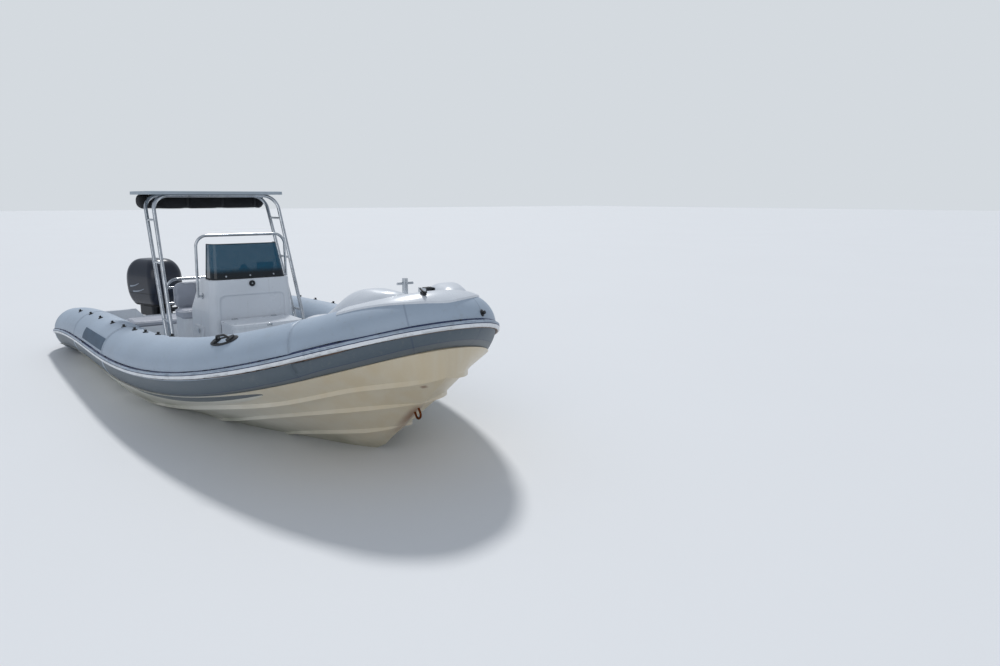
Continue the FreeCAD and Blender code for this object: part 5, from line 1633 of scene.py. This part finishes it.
@dataclass
class Bow:
    """Fittings of the bow moulding."""

    shop: Workshop
    lid_aft: tuple[float, float] = (2.440, 0.945)
    lid_slope: float = 18.0
    lid_thick: float = 0.014
    hinges: tuple[float, ...] = (-0.1, 0.1)
    hinge_along: float = 0.004
    pad_along: float = 0.19
    latch: tuple[float, float] = (0.34, -0.1)
    cleat_spot: tuple[float, float] = (3.45, -0.12)
    horn: tuple[Point, ...] = ((-0.045, 0, 0.028), (-0.022, 0, 0.022), (0, 0, 0.020),
                               (0.022, 0, 0.022), (0.045, 0, 0.028))

    def on_lid(self, piece: bpy.types.Object, finish: Finish, along: float, y: float,
               slot: str = "") -> None:
        """Put a piece on the locker's lid.

        Args:
            piece: The piece, made at the origin.
            finish: Its finish.
            along: Distance from the lid's aft edge.
            y: Place across the boat.
            slot: Not used.
        """
        turn = math.radians(self.lid_slope)
        x, z = self.lid_aft
        place = (x + along * math.cos(turn) - self.lid_thick * math.sin(turn), y,
                 z + along * math.sin(turn) + self.lid_thick * math.cos(turn))
        self.shop.fit(piece, finish, place, (-math.sin(turn), 0.0, math.cos(turn)),
                      body="bow_lid_body", slot=slot)

    def lid_fittings(self) -> None:
        """Non-skid pad, hinges and latch of the anchor locker's lid."""
        pad = self.shop.block("lid_pad", (0, 0, 0.001), (0.27, 0.24, 0.003), 0.001, 2)
        self.on_lid(pad, GRIP, self.pad_along, 0.0, slot="dark_plastic")
        for i, y in enumerate(self.hinges):
            leaf = self.shop.block(f"bow_hinge_{i}", (0.02, 0, 0.0015), (0.036, 0.05, 0.003),
                                   0.001, 2)
            self.on_lid(leaf, STAINLESS, self.hinge_along, y)
        latch = self.shop.cap("bow_latch", 0.02, 0.006, 0.002, 0.004)
        self.on_lid(latch, STAINLESS, *self.latch)

    def cleat(self) -> None:
        """Small dark fairlead on the bow's nose, to starboard."""
        cleat = self.shop.join(
            self.shop.block("bow_cleat", (0, 0, 0.008), (0.05, 0.026, 0.016), 0.005),
            self.shop.pipe("bow_cleat_horn", self.horn, 0.006))
        x, y = self.cleat_spot
        _, top, _ = on_ray("bow_deck", (x, y, 3.0), (0, 0, -1))
        self.shop.fit(cleat, DARK, (x, y, top.z), (0.15, y, 1), (1, y, 0))

    def build(self) -> None:
        """Build the fittings."""
        self.lid_fittings()
        self.cleat()


@dataclass
class Cockpit:
    """Plates in the sole, scuppers, the seat's door and the bolts of the legs."""

    shop: Workshop
    sole: float = 0.12
    platform: float = 0.30
    transom_face: float = -3.19
    plates: tuple[tuple[float, float], ...] = ((-1.95, 0.45), (-1.95, -0.45))
    fore_plate: tuple[float, float] = (1.55, 0.0)
    key_gap: float = 0.04
    scupper: tuple[float, float] = (0.62, 0.2)
    door_height: float = 0.34
    door_size: Point = (0.34, 0.28, 0.012)
    door_rim: float = 0.014
    door_set: float = 0.003
    knob_y: float = 0.12
    leg_x: tuple[float, ...] = (-0.208, -0.417)
    leg_y: float = 0.705
    pad_thick: float = 0.0098
    bolt_circle: float = 0.036

    def inspection_plates(self) -> None:
        """Round screw plates in the sole and the platform."""
        spots = [(*spot, self.sole) for spot in self.plates] + [(*self.fore_plate, self.platform)]
        for i, (x, y, z) in enumerate(spots):
            plate = self.shop.cap(f"deck_plate_{i}", 0.085, 0.004, 0.002, 0.012, 0.001, 48)
            self.shop.fit(plate, GELCOAT, (x, y, z - 0.0005))
            for k in (-1, 1):
                hole = self.shop.cap(f"deck_plate_{i}_key_{k + 1}", 0.009, 0.003, 0.001, 0.003,
                                     0.0005, 16)
                self.shop.fit(hole, DARK, (x + self.key_gap * k, y, z + 0.001))

    def scuppers(self) -> None:
        """Drain flanges low on the inside of the transom."""
        y, z = self.scupper
        for side, name in SIDES:
            drain = self.shop.cap(f"scupper_{name}", 0.034, 0.008, 0.005, 0.009)
            self.shop.fit(drain, STAINLESS, (self.transom_face - 0.0005, side * y, z), (1, 0, 0))

    def seat_door(self) -> None:
        """Door with a knob in the helm seat's box."""
        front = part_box("helm_seat_base")[1][0]
        door = self.shop.block("seat_door", (0, 0, 0.004), self.door_size,
                               self.door_size[2] / 2)
        self.shop.recess(door, self.door_rim, (0, 0, -self.door_set))
        self.shop.fit(door, GELCOAT, (front, 0.0, self.door_height), (1, 0, 0), (0, 1, 0))
        knob = self.shop.cap("seat_door_knob", 0.016, 0.014, 0.003, 0.004)
        self.shop.fit(knob, DARK, (front + 0.006, self.knob_y, self.door_height), (1, 0, 0))

    def leg_bolts(self) -> None:
        """Four bolts in each pad under the top's legs."""
        for side in (-1, 1):
            for i, x in enumerate(self.leg_x):
                for k in range(4):
                    turn = math.radians(45 + 90 * k)
                    bolt = self.shop.cap(f"leg_bolt_{side + 1}_{i}_{k}", 0.006, 0.005,
                                         sides=12)
                    self.shop.fit(bolt, STAINLESS,
                                  (x + self.bolt_circle * math.cos(turn),
                                   side * self.leg_y + self.bolt_circle * math.sin(turn),
                                   self.sole + self.pad_thick))

    def build(self) -> None:
        """Build the fittings."""
        self.inspection_plates()
        self.scuppers()
        self.seat_door()
        self.leg_bolts()


@dataclass
class Motor:
    """Trim of the outboard motor, built heading straight and turned as it is parked."""

    shop: Workshop
    steer_x: float = -3.345
    parked: float = 20.0
    foot: float = 0.44
    seal: tuple[float, float, float] = (0.004, 0.026, 0.003)
    groove: tuple[float, float, float] = (0.168, 0.174, 0.0012)
    stripes: tuple[Point, ...] = ((-3.77, 0.70, 0.21), (-3.72, 0.63, 0.27))
    stripe_rise: float = 0.05
    stripe_wide: float = 0.020
    stripe_gap: float = 0.0006
    stripe_thick: float = 0.0008
    abeam: float = 0.6
    latch_spot: Point = (-3.872, 0.0, 0.505)
    anode_spot: Point = (-3.72, 0.0, -0.352)
    intake: Point = (-3.5, 0.033, -0.40)
    intake_count: int = 5
    intake_pitch: float = 0.013
    nut_spot: Point = (-3.345 - 0.4 - 0.126, 0, -0.545)

    def turned(self) -> Matrix:
        """Turn about the steering axis, from straight to parked."""
        pivot = Matrix.Translation((self.steer_x, 0, 0))
        return pivot @ Matrix.Rotation(math.radians(self.parked), 4, "Z") @ pivot.inverted()

    def mount(self, piece: bpy.types.Object, finish: Finish, slot: str = "",
              body: str = "motor_body") -> None:
        """Park a piece with the motor and hand it over."""
        piece.data.transform(self.turned())
        self.shop.hand_over(piece, finish, body=body, slot=slot)

    def cowl_band(self, name: str, low: float, high: float, lift: float) -> None:
        """Rubber band round the cowl, between two heights over its foot and standing proud."""
        band = self.shop.node_copy("motor_cowl", name)
        self.shop.belt(band, (((0, 0, self.foot + low), (0, 0, -1)),
                              ((0, 0, self.foot + high), (0, 0, 1))), lift)
        self.shop.hand_over(band, SEAL, body="motor_body", slot="motor_leg_paint")

    def side_stripes(self) -> None:
        """Two pale slashes low on each side of the cowl."""
        move = self.turned()
        for side, name in SIDES:
            way = Matrix.Rotation(math.radians(self.parked), 4, "Z") @ Vector((0, -side, 0))
            for i, (x, z, length) in enumerate(self.stripes):
                stripe = self.shop.add("grid", f"cowl_stripe_{name}_{i}", x_subdivisions=20,
                                       y_subdivisions=4, size=1.0)
                for vertex in stripe.data.vertices:
                    u, v = vertex.co.x + 0.5, vertex.co.y
                    start = move @ Vector((x + length * u, side * self.abeam,
                                           z + self.stripe_rise * u * u
                                           + v * self.stripe_wide * (1.0 - u) ** 0.5))
                    hit, spot, facing = on_ray("motor_cowl", start, way)
                    vertex.co = spot + facing * self.stripe_gap if hit else start
                if side > 0:
                    stripe.data.flip_normals()
                self.shop.modify(stripe, "SOLIDIFY", thickness=self.stripe_thick, offset=1.0)
                self.shop.hand_over(stripe, STRIPE, body="motor_body", slot="motor_paint")

    def leg_details(self) -> None:
        """The latch at the back, and the anode, water intakes and nut of the gearcase."""
        self.mount(self.shop.block("cowl_latch", self.latch_spot, (0.022, 0.1, 0.05), 0.008),
                   LEG, "motor_leg_paint")
        self.mount(self.shop.block("anode", self.anode_spot, (0.09, 0.05, 0.02), 0.006),
                   ZINC, "stainless")
        x, y, z = self.intake
        for side in (-1, 1):
            for i in range(self.intake_count):
                slot = self.shop.block(f"intake_{side + 1}_{i}",
                                       (x, side * y, z - self.intake_pitch * i),
                                       (0.07, 0.004, 0.005), 0.0015, 2)
                self.mount(slot, DARK)
        nut = self.shop.cap("propeller_nut", 0.018, 0.022, rounding=0.003, sides=6)
        self.shop.settle(nut, self.nut_spot, (-1, 0, 0))
        self.mount(nut, STAINLESS, body="propeller_body")

    def build(self) -> None:
        """Build the trim."""
        self.cowl_band("cowl_seal", *self.seal)
        self.cowl_band("cowl_groove", *self.groove)
        self.side_stripes()
        self.leg_details()


@dataclass
class Studio:
    """Camera, floor and soft lights."""

    camera_place: Point = (7.53, -2.64, 1.88)
    heading: float = 142.5
    dip: float = 10.12
    lens: float = 27.34
    sensor: float = 36.0
    far: float = 300.0
    lamps: tuple[tuple[str, Point, float, float], ...] = (
        ("key", (-5.0, 2.6, 7.0), 1.9, 7.0), ("fill", (6.0, -7.0, 4.0), 0.35, 40.0))
    floor_half: float = 120.0
    surround: Colour = (0.80, 0.88, 1.0)
    surround_strength: float = 0.5
    backdrop: Colour = (0.66, 0.70, 0.74)
    floor_colour: Colour = (0.74, 0.75, 0.76)

    def camera(self) -> None:
        """Camera at the photograph's viewing angle."""
        data = bpy.data.cameras.new("camera")
        data.lens = self.lens
        data.sensor_width = self.sensor
        data.clip_end = self.far
        shot = bpy.data.objects.new("camera", data)
        shot.location = self.camera_place
        shot.rotation_euler = (math.radians(90.0 - self.dip), 0.0,
                               math.radians(self.heading - 90.0))
        bpy.context.scene.collection.objects.link(shot)
        bpy.context.scene.camera = shot

    def lamp(self, name: str, place: Point, power: float, softness: float) -> None:
        """One far lamp, with its power in watts per square metre and its width in degrees."""
        data = bpy.data.lights.new(name, "SUN")
        data.energy = power
        data.angle = math.radians(softness)
        lamp = bpy.data.objects.new(name, data)
        lamp.location = place
        lamp.rotation_euler = (Vector(place) * -1).to_track_quat("-Z", "Y").to_euler()
        bpy.context.scene.collection.objects.link(lamp)

    def world(self) -> None:
        """Even cool surroundings that the camera sees as a pale backdrop."""
        world = bpy.data.worlds.new("surroundings")
        world.use_nodes = True
        tree = world.node_tree
        light = tree.nodes["Background"]
        light.inputs["Color"].default_value = (*self.surround, 1.0)
        light.inputs["Strength"].default_value = self.surround_strength
        seen = tree.nodes.new("ShaderNodeBackground")
        seen.inputs["Color"].default_value = (*self.backdrop, 1.0)
        path = tree.nodes.new("ShaderNodeLightPath")
        choice = tree.nodes.new("ShaderNodeMixShader")
        tree.links.new(path.outputs["Is Camera Ray"], choice.inputs["Fac"])
        tree.links.new(light.outputs["Background"], choice.inputs[1])
        tree.links.new(seen.outputs["Background"], choice.inputs[2])
        tree.links.new(choice.outputs["Shader"],
                       tree.nodes["World Output"].inputs["Surface"])
        bpy.context.scene.world = world

    def floor(self) -> None:
        """Pale floor at the waterline."""
        clear_selection()
        bpy.ops.mesh.primitive_plane_add(size=2 * self.floor_half, location=(0, 0, 0))
        floor = bpy.context.object
        floor.name = "floor"
        paint = Paint("floor_paint")
        paint.set("Base Color", paint.toned(paint.noise(0.3, 2.0), self.floor_colour, 1.03))
        paint.set("Roughness", 0.8)
        floor.data.materials.append(paint.material)

    def build(self) -> None:
        """Set the stage."""
        bpy.context.scene.view_settings.view_transform = "Standard"
        self.camera()
        self.world()
        for lamp in self.lamps:
            self.lamp(*lamp)
        self.floor()
        LOG.info("stage set")


def dress_nodes(wardrobe: Wardrobe) -> None:
    """Give every shown CAD node its finish."""
    wardrobe.dress(HULL, "hull")
    wardrobe.dress(GELCOAT, "transom", "console", "fore_locker", "fore_locker_lid",
                   "helm_seat_base", "stern_bench", "bow_deck", "bow_locker_lid")
    wardrobe.dress(TINT, "windscreen")
    wardrobe.dress(STAINLESS, "console_hoop", "helm_seat_frame", "top_legs_port",
                   "top_legs_starboard", "top_ring", "bow_roller_bracket", "bow_post",
                   "stern_eyes")
    wardrobe.dress(RUSTY, "bow_eye")
    wardrobe.dress(DARK, "grab_handles", "tow_rings", "dash", "throttle", "helm_column",
                   "steering_wheel")
    wardrobe.dress(ROLLER, "bow_roller")
    wardrobe.dress(LEG, "motor_clamp", "motor_swivel", "motor_midsection", "motor_gearcase")
    wardrobe.dress(MOTOR, "motor_cowl")
    wardrobe.dress(BLOCK, "motor_powerhead")
    wardrobe.dress(BLADES, "propeller")


def main() -> None:
    """Build every sub-assembly in order."""
    logging.basicConfig(level=logging.INFO, format="%(message)s")
    wardrobe = Wardrobe()
    Studio().build()
    dress_nodes(wardrobe)
    shop = Workshop(wardrobe)
    Collar(shop).build()
    Console(shop).build()
    Upholstery(shop).build()
    Top(shop).build()
    Bow(shop).build()
    Cockpit(shop).build()
    Motor(shop).build()


if __name__ == "__main__":
    main()
